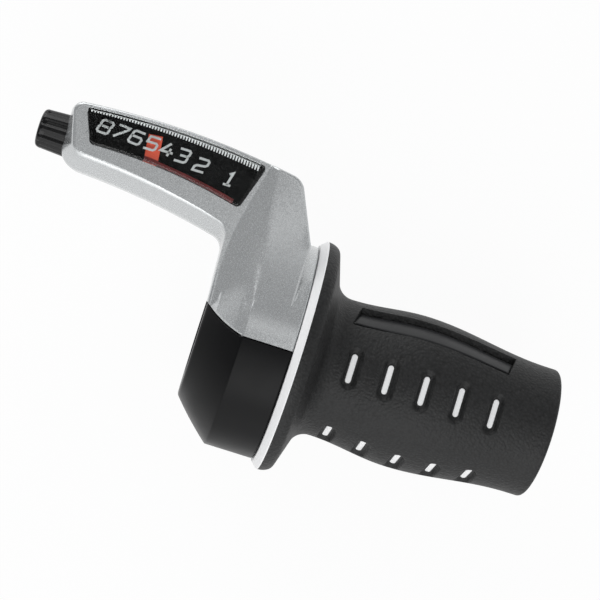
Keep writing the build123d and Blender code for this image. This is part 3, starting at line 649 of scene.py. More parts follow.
def material_named(name):
    """One of the object's finishes, made the first time it is asked for."""
    if name not in MATERIALS:
        shades = bpy.context.scene.shifter_finishes
        MATERIALS[name] = finish(*finish_values(shades)[name])
        # The indicator's red gets a painted shade on its tail.
        if name == "red":
            paint_tail_shade(MATERIALS[name].node_tree, shades)
        if name == "clear":
            pass_shadows(MATERIALS[name].node_tree)
    return MATERIALS[name]


def sleeve_radius(grip, x):
    """Sleeve radius: cosine blend from neck to belly and from belly to end."""
    rise = np.clip((x - grip.neck_at) / (grip.belly_at - grip.neck_at), 0, 1)
    fall = np.clip((x - grip.belly_at) / (grip.end_at - grip.belly_at), 0, 1)
    swell = (grip.belly - grip.neck) * (1 - np.cos(np.pi * rise)) / 2
    return grip.neck + swell + (grip.end - grip.belly) * (1 - np.cos(np.pi * fall)) / 2


def slot_stations(grip):
    """Stations of the slots along the sleeve."""
    return grip.slot_first + grip.slot_pitch * np.arange(grip.slots)


def slot_turns(grip):
    """Turns of the slot rows, measured from straight up towards the front."""
    return wrapped(grip.slot_row - grip.slot_step * np.arange(grip.slot_rows))


def panel_surface(grip, x, turn, depth):
    """Panel floor: the sleeve's circle shifted sideways, flush behind and sunk in front, less a depth."""
    radius = sleeve_radius(grip, x) + np.hypot(grip.belly, grip.panel_step) - grip.belly - depth
    away = grip.panel_turn - grip.panel_wide / 2 / grip.belly - np.pi / 2
    swing = turn - away
    return grip.panel_step * np.cos(swing) + np.sqrt(radius ** 2 - (grip.panel_step * np.sin(swing)) ** 2)


def panel_distance(grip, x, turn, radius):
    """Distance outside the slanted panel's edges, negative inside."""
    across = radius * np.sin(turn - grip.panel_turn)
    along = x - grip.panel_at - grip.panel_slant * across / grip.panel_wide
    return np.maximum(np.abs(along) - grip.panel_long / 2, np.abs(across) - grip.panel_wide / 2)


def sleeve_displaced(grip, x, turn):
    """Sleeve surface with its slots and panel pressed in: a blend towards each floor by edge distance."""
    floor_gap, widest_swing, wall_lead, panel_wall = 0.12 * MM, 0.6, 0.1, 0.25 * MM
    base = sleeve_radius(grip, x)
    radius = base
    straight_half = (grip.slot_long - grip.slot_wide) / 2
    for row in slot_turns(grip):
        swing = wrapped(turn - row)
        floor = (base - grip.slot_depth - floor_gap) / np.cos(np.clip(swing, -widest_swing, widest_swing))
        over = np.maximum(np.abs(base * swing) - straight_half, 0.0)
        for station in slot_stations(grip):
            edge = np.hypot(over, x - station) - grip.slot_wide / 2
            radius = radius + smoothstep(-edge / grip.slot_wall + wall_lead) * (floor - radius)
    edge = panel_distance(grip, x, turn, base)
    floor = panel_surface(grip, x, turn, grip.panel_thick)
    return radius + smoothstep(-edge / panel_wall + 0.5) * (floor - radius)


def flange_profile(grip, lip):
    """Half section of the flange: inner face, rounded rim, coned face and the throat's arc to the neck."""
    core_gap, rim_edge = 0.02 * MM, 0.25 * MM
    start = np.array((grip.flange, grip.rim - grip.flange / 2))
    centre = np.array((grip.neck_at, grip.neck + grip.throat))
    run, drop = centre[0] - start[0], start[1] - centre[1]
    lean = np.arctan2(drop, run) + np.arcsin(grip.throat / np.hypot(run, drop))
    way = np.array((np.cos(lean), -np.sin(lean)))
    touch = start + way * np.sqrt(run ** 2 + drop ** 2 - grip.throat ** 2)
    inner = straight((lip, grip.core + core_gap), (lip, grip.rim - rim_edge), 10)
    rim = hermite((lip, grip.rim), (1, 0), start, way, 14)
    face = straight(start, touch, 10)
    throat = arc_points(centre, grip.throat, 270 - np.degrees(lean), 270, 22)
    return np.concatenate([inner, rim, face[1:], throat[1:]])


def rubber_points(grip):
    """Whole rubber sleeve as one closed section carried round, with rows closer at slots and panel ends."""
    lip, seam = 0.02 * MM, radians(110)
    coarse, slot_zone, end_zone = 0.7 * MM, (2.0 * MM, 0.24 * MM), (1.1 * MM, 0.16 * MM)
    coarse_turn = 0.8 * MM / grip.belly
    row_zone = (5.4 * MM / grip.belly, 0.30 * MM / grip.belly)
    edge_zone = (0.5 * MM / grip.belly, 0.12 * MM / grip.belly)
    slots = [(station, *slot_zone) for station in slot_stations(grip)]
    ends = [(grip.panel_at + sign * grip.panel_long / 2, *end_zone) for sign in (-1, 1)]
    sleeve_x = graded(grip.neck_at, grip.end_at, slots + ends, coarse)[1:]
    rows = [(turn, *row_zone) for turn in slot_turns(grip)]
    half = grip.panel_wide / 2 / grip.belly
    edges = [(grip.panel_turn + sign * half, *edge_zone) for sign in (-1, 1)]
    turns = wrapped(graded(seam - 2 * np.pi, seam, rows + edges, coarse_turn)[:-1])
    before = turned(flange_profile(grip, lip), turns)
    x, turn = np.meshgrid(sleeve_x, turns, indexing="ij")
    sleeve = spun(x, sleeve_displaced(grip, x, turn), turn)
    round_at = (grip.long - grip.end_round, grip.end - grip.end_round)
    core_end, lip_bore, lip_round = grip.long - 0.78 * MM, grip.bore + 0.58 * MM, 0.15 * MM
    inner, face_edge, row_gap = grip.core + lip, 0.3 * MM, 2 * MM
    after = turned(np.concatenate([
        arc_points(round_at, grip.end_round, 90, 0, 8),
        straight((grip.long, round_at[1] - face_edge), (grip.long, lip_bore + lip_round), 4),
        arc_points((grip.long - lip_round, lip_bore + lip_round), lip_round, 0, -90, 4)[1:],
        straight((core_end, lip_bore), (core_end, inner), 3),
        straight((core_end - row_gap, inner), (lip + row_gap, inner), 6),
    ]), turns)
    return np.concatenate([before, sleeve, after])


def plate_points(grip):
    """Panel plate: a sheared patch over the panel's floor, with its edge turned down, closed below."""
    gap, edge, seat = 0.06 * MM, 0.18 * MM, 0.05 * MM
    half_long = grip.panel_long / 2 - gap
    half_wide = grip.panel_wide / 2 - gap
    a, b = np.meshgrid(np.linspace(-1, 1, 120), np.linspace(-1, 1, 26), indexing="ij")
    turn = grip.panel_turn + np.arcsin(b * half_wide / grip.belly)
    x = grip.panel_at + a * half_long + grip.panel_slant * b / 2
    inside = np.minimum((1 - np.abs(a)) * half_long, (1 - np.abs(b)) * half_wide)
    drop = edge - np.sqrt(np.maximum(edge ** 2 - np.maximum(edge - inside, 0) ** 2, 0))
    top = panel_surface(grip, x, turn, 0.0) - drop
    low = panel_surface(grip, x, turn, grip.panel_thick - seat)
    return closed_patch(spun(x, top, turn), spun(x, low, turn))


def core_points(grip):
    """Core tube with journal and ring: closed half section carried round, its outer edges rounded."""
    soft, row_gap, cone, journal = 0.2 * MM, 1 * MM, 1.4 * MM, 14.7 * MM
    start, shoulder, ring, end = -12.5 * MM, -4.1 * MM, -grip.ring, grip.long - 0.8 * MM
    section = np.concatenate([
        straight((start, grip.bore + soft), (start, grip.core - soft), 3),
        straight((start + soft, grip.core), (shoulder, grip.core), 4),
        straight((shoulder, journal - soft), (shoulder + soft, journal), 3),
        straight((ring, journal), (ring, grip.rim - cone - soft), 6),
        arc_points((ring + soft, grip.rim - cone - 0.4 * soft), soft, 180, 135, 4),
        straight((ring + cone - soft, grip.rim - soft), (ring + cone, grip.rim), 2),
        straight((0, grip.rim), (0, grip.core), 8),
        straight((row_gap, grip.core), (end - soft, grip.core), 8),
        straight((end, grip.core - soft), (end, grip.bore + soft), 3),
        straight((end - soft, grip.bore), (start + soft, grip.bore), 8),
    ])
    return turned(section, full_turn(192))


def bar_grid(grip, station, row):
    """White bar: slot outlines stacked outwards, drawn in at the top for a soft edge."""
    sunk, soft_edge = 0.4 * MM, [(0.0, 0.2), (0.03, 0.09), (0.10, 0.02), (0.22, 0.0)]
    top = sleeve_radius(grip, station) - grip.slot_depth
    levels = [(0.0, grip.core - sunk), *((inset * MM, top - drop * MM) for inset, drop in soft_edge)]
    rings = []
    for inset, height in levels:
        shape = stadium(grip.bar_long - 2 * inset, grip.bar_wide - 2 * inset, 12)
        rings.append(stood(station + shape[:, 1], shape[:, 0], height, row))
    return stacked_rings(np.array(rings))


def key_grid(grip, turn):
    """Drive key: a small block on the core, long along the bar."""
    first, last, half, sunk, proud = -12.5 * MM, -6.5 * MM, 1.2 * MM, 0.5 * MM, 0.7 * MM
    along = np.array([first, last, last, first])
    across = np.array([-half, -half, half, half])
    rings = [stood(along, across, height, turn) for height in (grip.core - sunk, grip.core + proud)]
    return stacked_rings(np.array(rings))


def knob_points(knob):
    """Barrel adjuster: closed section carried round, with cosine flutes that fade at the tip and a thread."""
    soft, chamfer, row_gap, run_out = 0.25 * MM, 0.2 * MM, 0.3 * MM, 0.4 * MM
    thread_deep, hole_gap = 0.1 * MM, 1 * MM
    flute_fade, flute_floor, flute_steep = 1.4 * MM, 0.9 * MM, 1.6
    tip = knob.face - knob.long
    end = knob.face + knob.shank_long
    round_at = (tip + knob.tip_round, knob.tip - knob.tip_round)
    thread_x = np.linspace(knob.face + run_out, end - run_out, 90)
    thread_r = knob.shank - thread_deep * (1 + np.cos(2 * np.pi * thread_x / knob.thread_pitch))
    section = np.concatenate([
        straight((tip, knob.socket + chamfer), (tip, round_at[1]), 4),
        arc_points(round_at, knob.tip_round, 180, 90, 10)[1:],
        straight((tip + knob.tip_round + row_gap, knob.tip), (knob.face - soft, knob.root), 24),
        straight((knob.face, knob.root - soft), (knob.face, knob.shank), 4),
        np.stack([thread_x, thread_r], axis=1),
        straight((end, knob.shank - row_gap), (end, knob.hole), 3),
        straight((end - hole_gap, knob.hole), (tip + knob.socket_deep, knob.hole), 6),
        straight((tip + knob.socket_deep, knob.socket), (tip + chamfer, knob.socket), 5),
    ])
    turns = full_turn(240)
    wave = np.clip(np.cos(knob.flutes * turns) * flute_steep, -1, 1)
    outer = section[:, 1] > knob.shank + flute_floor
    fade = smoothstep((section[:, 0] - tip) / flute_fade) * outer
    radius = section[:, 1:] - knob.flute_deep * fade[:, None] * (1 - wave[None, :]) / 2
    x = np.repeat(section[:, :1], len(turns), axis=1)
    return spun(x, radius, turns) + np.array([0.0, knob.y, knob.z])


def front_edge(window, x, inset):
    """Front edge of the pod: a wide arc, moved back by an inset."""
    return window.reach - inset - window.arc + np.sqrt(window.arc ** 2 - (x - window.apex) ** 2)


def three_point_arc(start, middle, stop, steps):
    """Parabola through three points, which a wide arc hardly differs from."""
    pull = 2 * np.asarray(middle) - 0.5 * (np.asarray(start) + np.asarray(stop))
    return quadratic(start, pull, stop, np.linspace(0, 1, steps)[:, None])


def soft_corner(before, corner, after, radius, steps):
    """Rounded corner: a quadratic curve between points one radius away on each side."""
    start = corner + radius * unit(before - corner)
    stop = corner + radius * unit(after - corner)
    return quadratic(start, corner, stop, np.linspace(0, 1, steps)[:, None])


def trimmed(curve, corners, reach):
    """Points of a curve that lie further than a reach from both of its corners."""
    first, second = [np.linalg.norm(curve - corner, axis=1) > reach for corner in corners]
    return curve[first & second]


def lens_outline(window):
    """Lens outline: bowed front and rear edges, slanted ends and soft corners, once round."""
    front_left = np.array([window.left, front_edge(window, window.left, window.rim)])
    front_right = np.array([window.right, front_edge(window, window.right, window.rim)])
    rear_left = front_left + np.array([window.left_slant, -window.wide_left])
    rear_right = front_right - np.array([window.right_slant, window.wide_right])
    middle_x = (window.left + window.right) / 2
    front = three_point_arc(front_left, (middle_x, front_edge(window, middle_x, window.rim)), front_right, 90)
    bow = (rear_left + rear_right) / 2 + np.array([0, window.low_bow])
    rear = three_point_arc(rear_right, bow, rear_left, 90)
    reach = 1.15 * window.corner
    return np.concatenate([
        trimmed(front, (front_left, front_right), reach),
        soft_corner(front[-4], front_right, rear_right, reach, 9),
        soft_corner(front_right, rear_right, rear[3], reach, 9),
        trimmed(rear, (rear_left, rear_right), reach),
        soft_corner(rear[-4], rear_left, front_left, reach, 9),
        soft_corner(rear_left, front_left, front[3], reach, 9),
    ])


def inset_outline(loop, inset):
    """Outline moved inwards along its own normals."""
    way = np.roll(loop, -1, axis=0) - np.roll(loop, 1, axis=0)
    way /= np.linalg.norm(way, axis=1)[:, None]
    return loop + inset * np.stack([way[:, 1], -way[:, 0]], axis=1)


def strip_width(window, x):
    """Width of the toothed strip, which grows evenly from left to right."""
    share = np.clip((x - window.left) / (window.right - window.left), 0, 1)
    return window.strip_left + (window.strip_right - window.strip_left) * share


def lens_grid(window):
    """Lens: its outline stacked upwards, cut back in front for the strip and drawn in over a round on top."""
    front_zone, shelf_gap, spread = 0.6 * MM, 0.5 * MM, 6
    loop = lens_outline(window)
    near = loop[:, 1] > front_edge(window, loop[:, 0], window.rim + front_zone)
    wide = np.where(near, window.edge, window.rear_edge)
    wide = np.mean([np.roll(wide, step) for step in range(-spread, spread + 1)], axis=0)
    shelf = front_edge(window, loop[:, 0], window.rim + shelf_gap) - strip_width(window, loop[:, 0])
    cut = np.column_stack([loop[:, 0], np.minimum(loop[:, 1], shelf)])
    step = window.base + window.strip_high
    rings = [lifted(cut, window.base), lifted(cut, step), lifted(loop, step)]
    for bend in np.radians(np.linspace(0, 90, 9)):
        plan = inset_outline(loop, (wide * (1 - np.cos(bend)))[:, None])
        rings.append(lifted(plan, window.top - wide * (1 - np.sin(bend))))
    return stacked_rings(np.array(rings))


def strip_grids(window):
    """Toothed strip in the lens's rebate: a thin back along the edge and a row of wedge teeth behind it."""
    back, set_back = 0.1 * MM, window.rim + 0.42 * MM
    low, high = window.base + 0.03 * MM, window.base + window.strip_high - 0.04 * MM
    start, stop = window.left + 0.9 * MM, window.right - 1.5 * MM
    half, point = 0.36 * window.tooth, 0.2 * window.tooth
    x = np.linspace(start, stop, 80)
    front = front_edge(window, x, set_back)
    section = [(front, high), (front - back, high), (front - back, low), (front, low)]
    rings = np.stack([lifted(np.column_stack([x, y]), z) for y, z in section], axis=1)
    grids = [stacked_rings(rings)]
    for at in np.arange(start + window.tooth / 2, stop - window.tooth / 2, window.tooth):
        reach = strip_width(window, at)
        y = front_edge(window, at, set_back) - 0.5 * back
        plan = np.array([(at - half, y), (at - point, y - reach), (at + point, y - reach), (at + half, y)])
        grids.append(stacked_rings(np.array([lifted(plan, z) for z in (low, high)])))
    return grids


# Pen strokes of each gear number, in shares of its width and height
TOP_BEND = [(0.85, 1.0), (1.0, 0.88), (1.0, 0.62)]
LOW_BEND = [(1.0, 0.12), (0.85, 0.0)]
NUMERAL_STROKES = {
    1: [[(0.12, 0.84), (0.55, 1.0), (0.55, 0.0)], [(0.0, 0.0), (1.1, 0.0)]],
    2: [[(0.0, 1.0), *TOP_BEND, (0.85, 0.5), (0.15, 0.42), (0.0, 0.30), (0.0, 0.0), (1.0, 0.0)]],
    3: [[(0.0, 1.0), *TOP_BEND, (0.88, 0.5), (1.0, 0.38), *LOW_BEND, (0.0, 0.0)], [(0.25, 0.5), (0.88, 0.5)]],
    4: [[(0.55, 1.0), (0.0, 0.30), (1.1, 0.30)], [(0.75, 0.62), (0.75, 0.0)]],
    5: [[(1.0, 1.0), (0.08, 1.0), (0.04, 0.56), (0.85, 0.56), (1.0, 0.45), *LOW_BEND, (0.0, 0.0)]],
    6: [[(0.95, 1.0), (0.15, 1.0), (0.0, 0.88), (0.0, 0.12), (0.15, 0.0), (0.85, 0.0), (1.0, 0.12),
         (1.0, 0.44), (0.85, 0.56), (0.0, 0.56)]],
    7: [[(0.0, 1.0), (1.0, 1.0), (0.96, 0.86), (0.12, 0.0)]],
    8: [[(0.5, 1.0), (0.85, 1.0), (1.0, 0.88), (1.0, 0.64), (0.88, 0.52), (1.0, 0.40), *LOW_BEND,
         (0.15, 0.0), (0.0, 0.12), (0.0, 0.40), (0.12, 0.52), (0.0, 0.64), (0.0, 0.88), (0.15, 1.0),
         (0.5, 1.0)], [(0.12, 0.52), (0.88, 0.52)]],
}


def stroke_grid(path, width, low, high):
    """Pen stroke: a flat section carried along a plan path with mitred bends."""
    way = np.diff(path, axis=0)
    way /= np.linalg.norm(way, axis=1)[:, None]
    before = np.concatenate([way[:1], way])
    after = np.concatenate([way, way[-1:]])
    if np.allclose(path[0], path[-1]):
        before[0], after[-1] = way[-1], way[0]
    side = np.stack([-(before + after)[:, 1], (before + after)[:, 0]], axis=1)
    reach = np.stack([-after[:, 1], after[:, 0]], axis=1)
    side /= np.sum(side * reach, axis=1)[:, None]
    left, right = path + side * width / 2, path - side * width / 2
    corners = [(left, high), (right, high), (right, low), (left, low)]
    return stacked_rings(np.stack([lifted(edge, z) for edge, z in corners], axis=1))


def numeral_places():
    """Middle of each gear number in plan, in millimetres: a bowed row down to gear 3, then wider steps."""
    first_x, first_y, pitch, bow = -54.6, 35.15, 3.55, 0.03
    steps = {gear: 8 - gear for gear in range(3, 9)}
    row = {gear: (first_x + pitch * step, first_y - bow * step ** 2) for gear, step in steps.items()}
    return {**row, 2: (-32.44, 33.65), 1: (-25.68, 32.74)}


def numeral_grids(window):
    """All gear numbers: each stroke set scaled, leaned forward and put in its place."""
    lean, narrow, thick = 0.27, 0.62, 0.05 * MM
    high_tilt, low_tilt = radians(-4), radians(1)
    grids = []
    for gear, place in numeral_places().items():
        tilt = high_tilt if gear > 5 else low_tilt
        turn = np.array([[np.cos(tilt), np.sin(tilt)], [-np.sin(tilt), np.cos(tilt)]])
        high = window.digit_high - window.digit_line
        wide = (window.digit_wide - window.digit_line) * (narrow if gear == 1 else 1.0)
        for stroke in NUMERAL_STROKES[gear]:
            path = (np.array(stroke) - 0.5) * (wide, high)
            path[:, 0] += lean * path[:, 1]
            path = path @ turn + np.array(place) * MM
            grids.append(stroke_grid(path, window.digit_line, window.digit_at, window.digit_at + thick))
    return grids


def run_of(curve):
    """Distance along a curve at each of its points."""
    return np.concatenate([[0.0], np.cumsum(np.linalg.norm(np.diff(curve, axis=0), axis=1))])


def point_along(curve, distance):
    """Point or points of a plan curve at a distance or distances along it."""
    run = run_of(curve)
    return np.stack([np.interp(distance, run, curve[:, axis]) for axis in range(2)], axis=-1)


def rounded_path(curves, radii, steps):
    """Curves end to end with a circular arc at each joint: tangent points stand one tangent length off."""
    arcs, reach = [], [0.0]
    for before, after, radius, number in zip(curves, curves[1:], radii, steps[1::2]):
        bend = np.arccos(np.dot(unit(before[-1] - before[-2]), unit(after[1] - after[0])))
        step = radius * np.tan(bend / 2)
        start, stop = point_along(before[::-1], step), point_along(after, step)
        ahead, onward = unit(before[-1] - start), unit(stop - before[-1])
        cross = ahead[0] * onward[1] - ahead[1] * onward[0]
        bend = np.arcsin(np.clip(abs(cross), 0, 1))
        if np.dot(ahead, onward) <= 0:
            bend = np.pi - bend
        inwards = np.sign(cross) * np.array([-ahead[1], ahead[0]])
        size = step / np.tan(bend / 2)
        turn = np.linspace(0, bend, number, endpoint=False)[:, None]
        arcs.append(start + inwards * size * (1 - np.cos(turn)) + ahead * size * np.sin(turn))
        reach.append(step)
    reach.append(0.0)
    parts = []
    for index, curve in enumerate(curves):
        last = run_of(curve)[-1] - reach[index + 1]
        parts.append(point_along(curve, np.linspace(reach[index], last, steps[2 * index], endpoint=False)))
        parts.extend(arcs[index:index + 1])
    return np.concatenate([*parts, curves[-1][-1:]])


def rear_edge(shell, x, inset):
    """Rear edge of the arm: a wide arc that falls towards the neck."""
    return shell.rear_y + inset - shell.rear_arc + np.sqrt(shell.rear_arc ** 2 - (x - shell.rear_apex) ** 2)


def pod_paths(shell, window, draft, rear_run, end_run, lower_radius):
    """Plan of the pod: a path round the rear and one round the front, from the middle of its left end."""
    left = shell.arm_end + draft
    front_left = np.array([left, front_edge(window, left, draft)])
    rear_x = shell.arm_end + end_run
    rear_left = np.array([rear_x, rear_edge(shell, rear_x, rear_run)])
    middle = (front_left + rear_left) / 2
    inner_x = shell.neck_left - shell.neck_flare
    corner_x = shell.neck_right
    for settling_round in range(12):
        lean_y = front_edge(window, corner_x, draft) - shell.shoulder
        corner_x = shell.neck_right - lean_y * np.tan(shell.neck_lean)
    inner_corner = np.array([inner_x, rear_edge(shell, inner_x, rear_run)])
    front_right = np.array([corner_x, front_edge(window, corner_x, draft)])
    shoulder = np.array([shell.neck_right, shell.shoulder])
    rear_steps, front_steps = [16, 26, 110, 44, 92], [16, 18, 118, 32, 40, 10, 54]
    rear_xs = np.linspace(rear_x, inner_x, 200)
    front_xs = np.linspace(left, corner_x, 200)
    rear = rounded_path(
        [
            straight(middle, rear_left, 40),
            np.stack([rear_xs, rear_edge(shell, rear_xs, rear_run)], axis=1),
            straight(inner_corner, (shell.neck_left, 0.0), 40),
        ],
        [lower_radius, shell.inner_corner], rear_steps,
    )
    front = rounded_path(
        [
            straight(middle, front_left, 40),
            np.stack([front_xs, front_edge(window, front_xs, draft)], axis=1),
            straight(front_right, shoulder, 40), straight(shoulder, (shell.neck_right, 0.0), 40),
        ],
        [shell.end_corner, shell.outer_corner, shell.shoulder_round], front_steps,
    )
    return rear, front


def soft_lower(first, second, blend):
    """Smaller of two heights with a rounded crease."""
    return 0.5 * (first + second - np.sqrt((first - second) ** 2 + blend ** 2))


def roof_height(shell, x, y):
    """Roof: flat arm, cubic facet from foot to crease, and the neck's crest, a parabola off the collar."""
    beyond, sink_run, top_gap, least_blend = 1.1 * MM, 3 * MM, 0.02 * MM, 0.15
    middle = (shell.facet_turn + shell.reach) / 2
    stations = np.array([0.0, shell.crest_start, shell.facet_turn, middle, shell.reach + beyond])
    share_out = (stations - shell.crest_start) / (shell.reach - shell.crest_start)
    start_z = np.sqrt(shell.band ** 2 - shell.crest_start ** 2)
    end_z = shell.top + shell.crest_rise
    fall = end_z + (start_z - end_z) * (1 - (y - shell.crest_start) / (shell.reach - shell.crest_start)) ** 2
    sink = shell.facet_dip * smoothstep((shell.crest_start - y) / sink_run)
    collar_z = np.sqrt(np.maximum(shell.band ** 2 - y ** 2, 0)) - sink
    crest_z = np.where(y < shell.crest_start, collar_z, fall)
    crease = shell.knee - shell.facet_dip - shell.crease_drift * np.maximum(share_out, 0)
    turn = np.maximum(stations - shell.facet_turn, 0) / (shell.reach - shell.facet_turn)
    foot = shell.neck_left + shell.facet_set_in + shell.facet_drift * turn
    crease_x, foot_x = [np.polyval(np.polyfit(stations / MM, values, 4), y / MM) for values in (crease, foot)]
    rise = crest_z - shell.top
    t = (x - foot_x) / (crease_x - foot_x)
    inside = np.clip(t, 0, 1)
    lift = shell.facet_lift
    facet = rise * (lift * inside + (2 - 2 * lift) * inside ** 2 - (1 - lift) * inside ** 3)
    facet = facet + rise * (np.maximum(t - 1, 0) + lift * np.minimum(t, 0))
    grown = smoothstep((y - shell.crest_start) / (shell.facet_turn - shell.crest_start))
    blend = shell.crease_round * (least_blend + (1 - least_blend) * grown)
    ridge = soft_lower(facet, rise, blend) - shell.fit
    return shell.top - top_gap - soft_lower(-ridge, np.zeros_like(ridge), blend)


def collar_bevel(shell, end_r, band, start, knee, steps):
    """Section of the collar's bevel: a chord from end to band, bowed outwards."""
    run, rise = knee - start, band - end_r
    chord = np.hypot(run, rise)
    t = np.linspace(0, 1, steps)
    bow = 4 * shell.bevel_bow * t * (1 - t)
    return np.stack([start + run * t - bow * rise / chord, end_r + rise * t + bow * run / chord], axis=1)


def saddle_grid(shell):
    """Fillet over the valley between facet and collar: the higher of both, raised where they are near."""
    blend, thick, sink, fade_run, left_fade = 1.6 * MM, 0.7 * MM, 0.04 * MM, 1.5 * MM, 0.6 * MM
    left, right, last = shell.start + 1.7 * MM, shell.knee - 0.9 * MM, 14.5 * MM
    parting_gap, parting_terms, steepest = 0.3 * MM, (2.8 * MM, 1.6 * MM, 1.55 * MM), 0.85
    bevel = collar_bevel(shell, shell.end, shell.band, shell.start, shell.knee, 60)
    x, v = np.meshgrid(np.linspace(left, right, 60), np.linspace(0, 1, 80), indexing="ij")
    first = np.polyval(parting_terms, (shell.knee - x) / (shell.knee - shell.start)) + parting_gap
    y = first + (last - first) * v
    radius = np.interp(x, bevel[:, 0], bevel[:, 1])
    cone = np.sqrt(radius ** 2 - np.minimum(y, steepest * radius) ** 2)
    facet = roof_height(shell, x, y)
    near = np.maximum(blend - np.abs(facet - cone), 0) / blend
    fade = smoothstep((right - x) / fade_run) * smoothstep((last - y) / fade_run)
    fade = fade * smoothstep((x - left) / left_fade)
    top = np.maximum(facet, cone) - sink + fade * (near ** 2 * blend / 4 + 1.5 * sink * near)
    return closed_patch(*[np.stack([x, y, z], axis=-1) for z in (top, top - thick)])


def pod_points(shell, window):
    """Pod: at each place round its plan a section goes up the rear wall, over the roof and down the front."""
    fit, base_z, spine_shift, shift_rows = shell.fit, 0.02 * MM, 3.6 * MM, 84
    low_rear, low_front = pod_paths(shell, window, fit, fit, fit, shell.end_lower)
    high_rear, high_front = pod_paths(
        shell, window, shell.draft + fit, shell.bevel_run + fit, shell.bevel_end + fit, shell.top_lower
    )
    fade = 1 - smoothstep(np.arange(len(low_rear)) / shift_rows)
    spine = (high_rear + high_front) / 2 + np.stack([spine_shift * fade, 0 * fade], axis=1)
    knee_z = shell.top - shell.bevel_drop

    def side(low, high):
        """Wall, softened knee, bevel and rim of one side, then half the roof to the spine."""
        rim = lifted(high, roof_height(shell, high[:, 0], high[:, 1]))
        knee = lifted(low, knee_z)
        slope = rim - knee
        slope /= np.linalg.norm(slope, axis=1)[:, None]
        inwards = spine - high
        inwards /= np.linalg.norm(inwards, axis=1)[:, None]
        over = high + inwards * shell.rim_round
        over = lifted(over, roof_height(shell, over[:, 0], over[:, 1]))
        t = np.linspace(0, 1, 7)[:, None, None]
        below = knee - np.array([0, 0, shell.knee_round])
        soft_knee = quadratic(below, knee, knee + slope * shell.knee_round, t)
        soft_rim = quadratic(rim - slope * shell.rim_round, rim, over, t)
        way = np.linspace(0, 1, 72)[1:, None, None]
        plan = over[:, :2] * (1 - way) + spine * way
        roof = np.concatenate([plan, roof_height(shell, plan[..., 0], plan[..., 1])[..., None]], axis=-1)
        return np.concatenate([lifted(low, base_z)[None], soft_knee, soft_rim, roof])

    rear = side(low_rear, high_rear)
    front = side(low_front, high_front)
    under = lifted(spine, base_z)[None]
    return np.concatenate([rear, front[-2::-1], under]).transpose(1, 0, 2)


def pod_mesh(shell, window):
    """Closed pod from its sections, with a flat cap at the foot of the neck."""
    points = pod_points(shell, window)
    rows, cols = points.shape[:2]
    faces = grid_quads(points, False, True).tolist()
    faces.append([(rows - 1) * cols + index for index in range(cols)])
    return build_mesh("pod_blank", points, faces)


def collar_mesh(shell):
    """Solid collar: end face, bowed bevel, band and rim carried round the bar axis, with soft edges."""
    fit, hub, soft, edge = 0.02 * MM, 5 * MM, shell.collar_round, shell.knee_edge
    start, knee, stop = shell.start + fit, shell.knee, shell.stop - fit
    end_r, band = shell.end - fit, shell.band - fit
    bevel = collar_bevel(shell, end_r, band, start, knee, 40)
    inside = np.hypot(bevel[:, 0] - start, bevel[:, 1] - end_r) > soft
    inside &= np.hypot(bevel[:, 0] - knee, bevel[:, 1] - band) > edge
    bevel = bevel[inside]
    t = np.linspace(0, 1, 8)[:, None]
    section = np.concatenate([
        [(start, 0.0)], straight((start, hub), (start, end_r - soft), 5)[:-1],
        quadratic((start, end_r - soft), (start, end_r), bevel[0], t)[:-1], bevel[:-1],
        quadratic(bevel[-1], (knee, band), (knee + edge, band), t),
        straight((knee + edge, band), (stop - soft, band), 14)[1:-1],
        quadratic((stop - soft, band), (stop, band), (stop, band - soft), t),
        straight((stop, band - soft), (stop, hub), 5)[1:], [(stop, 0.0)],
    ])
    points = turned(section, full_turn(288))
    return build_mesh("collar_blank", points, grid_quads(points, False, True))


def combined(first, second, operation):
    """Mesh of two closed meshes joined, cut or kept in common."""
    holders = [bpy.data.objects.new("work", mesh) for mesh in (first, second)]
    for holder in holders:
        bpy.context.scene.collection.objects.link(holder)
    change = holders[0].modifiers.new("combine", "BOOLEAN")
    change.operation = operation
    change.solver = "MANIFOLD"
    change.object = holders[1]
    graph = bpy.context.evaluated_depsgraph_get()
    mesh = bpy.data.meshes.new_from_object(holders[0].evaluated_get(graph))
    for holder in holders:
        bpy.data.objects.remove(holder)
    return mesh


def flatten_square_faces(mesh):
    """Shades faces square to an axis flat, so that a plane keeps one tone beside a rounded edge."""
    normals = np.empty(len(mesh.polygons) * 3, np.float32)
    mesh.polygons.foreach_get("normal", normals)
    square = np.abs(normals.reshape(-1, 3)).max(axis=1) > np.cos(SQUARE_ENOUGH)
    mesh.polygons.foreach_set("use_smooth", ~square)
    mesh.update()


class SHIFTER_OT_grip_rubber(bpy.types.Operator):
    """Rubber sleeve with flange, slots and panel recess."""

    bl_idname = "shifter.grip_rubber"
    bl_label = "Grip rubber"

    def execute(self, context):
        points = rubber_points(context.scene.shifter_grip)
        mesh = build_mesh("grip_sleeve", points, grid_quads(points, True, True))
        add_piece(mesh, "grip", material_named("rubber"), ["grip_rubber"])
        return {"FINISHED"}


class SHIFTER_OT_grip_plate(bpy.types.Operator):
    """Bare plate in the panel recess."""

    bl_idname = "shifter.grip_plate"
    bl_label = "Panel plate"

    def execute(self, context):
        mesh = build_mesh("panel_plate", *plate_points(context.scene.shifter_grip))
        add_piece(mesh, "grip", material_named("charcoal"), ["grip_badge"])
        return {"FINISHED"}


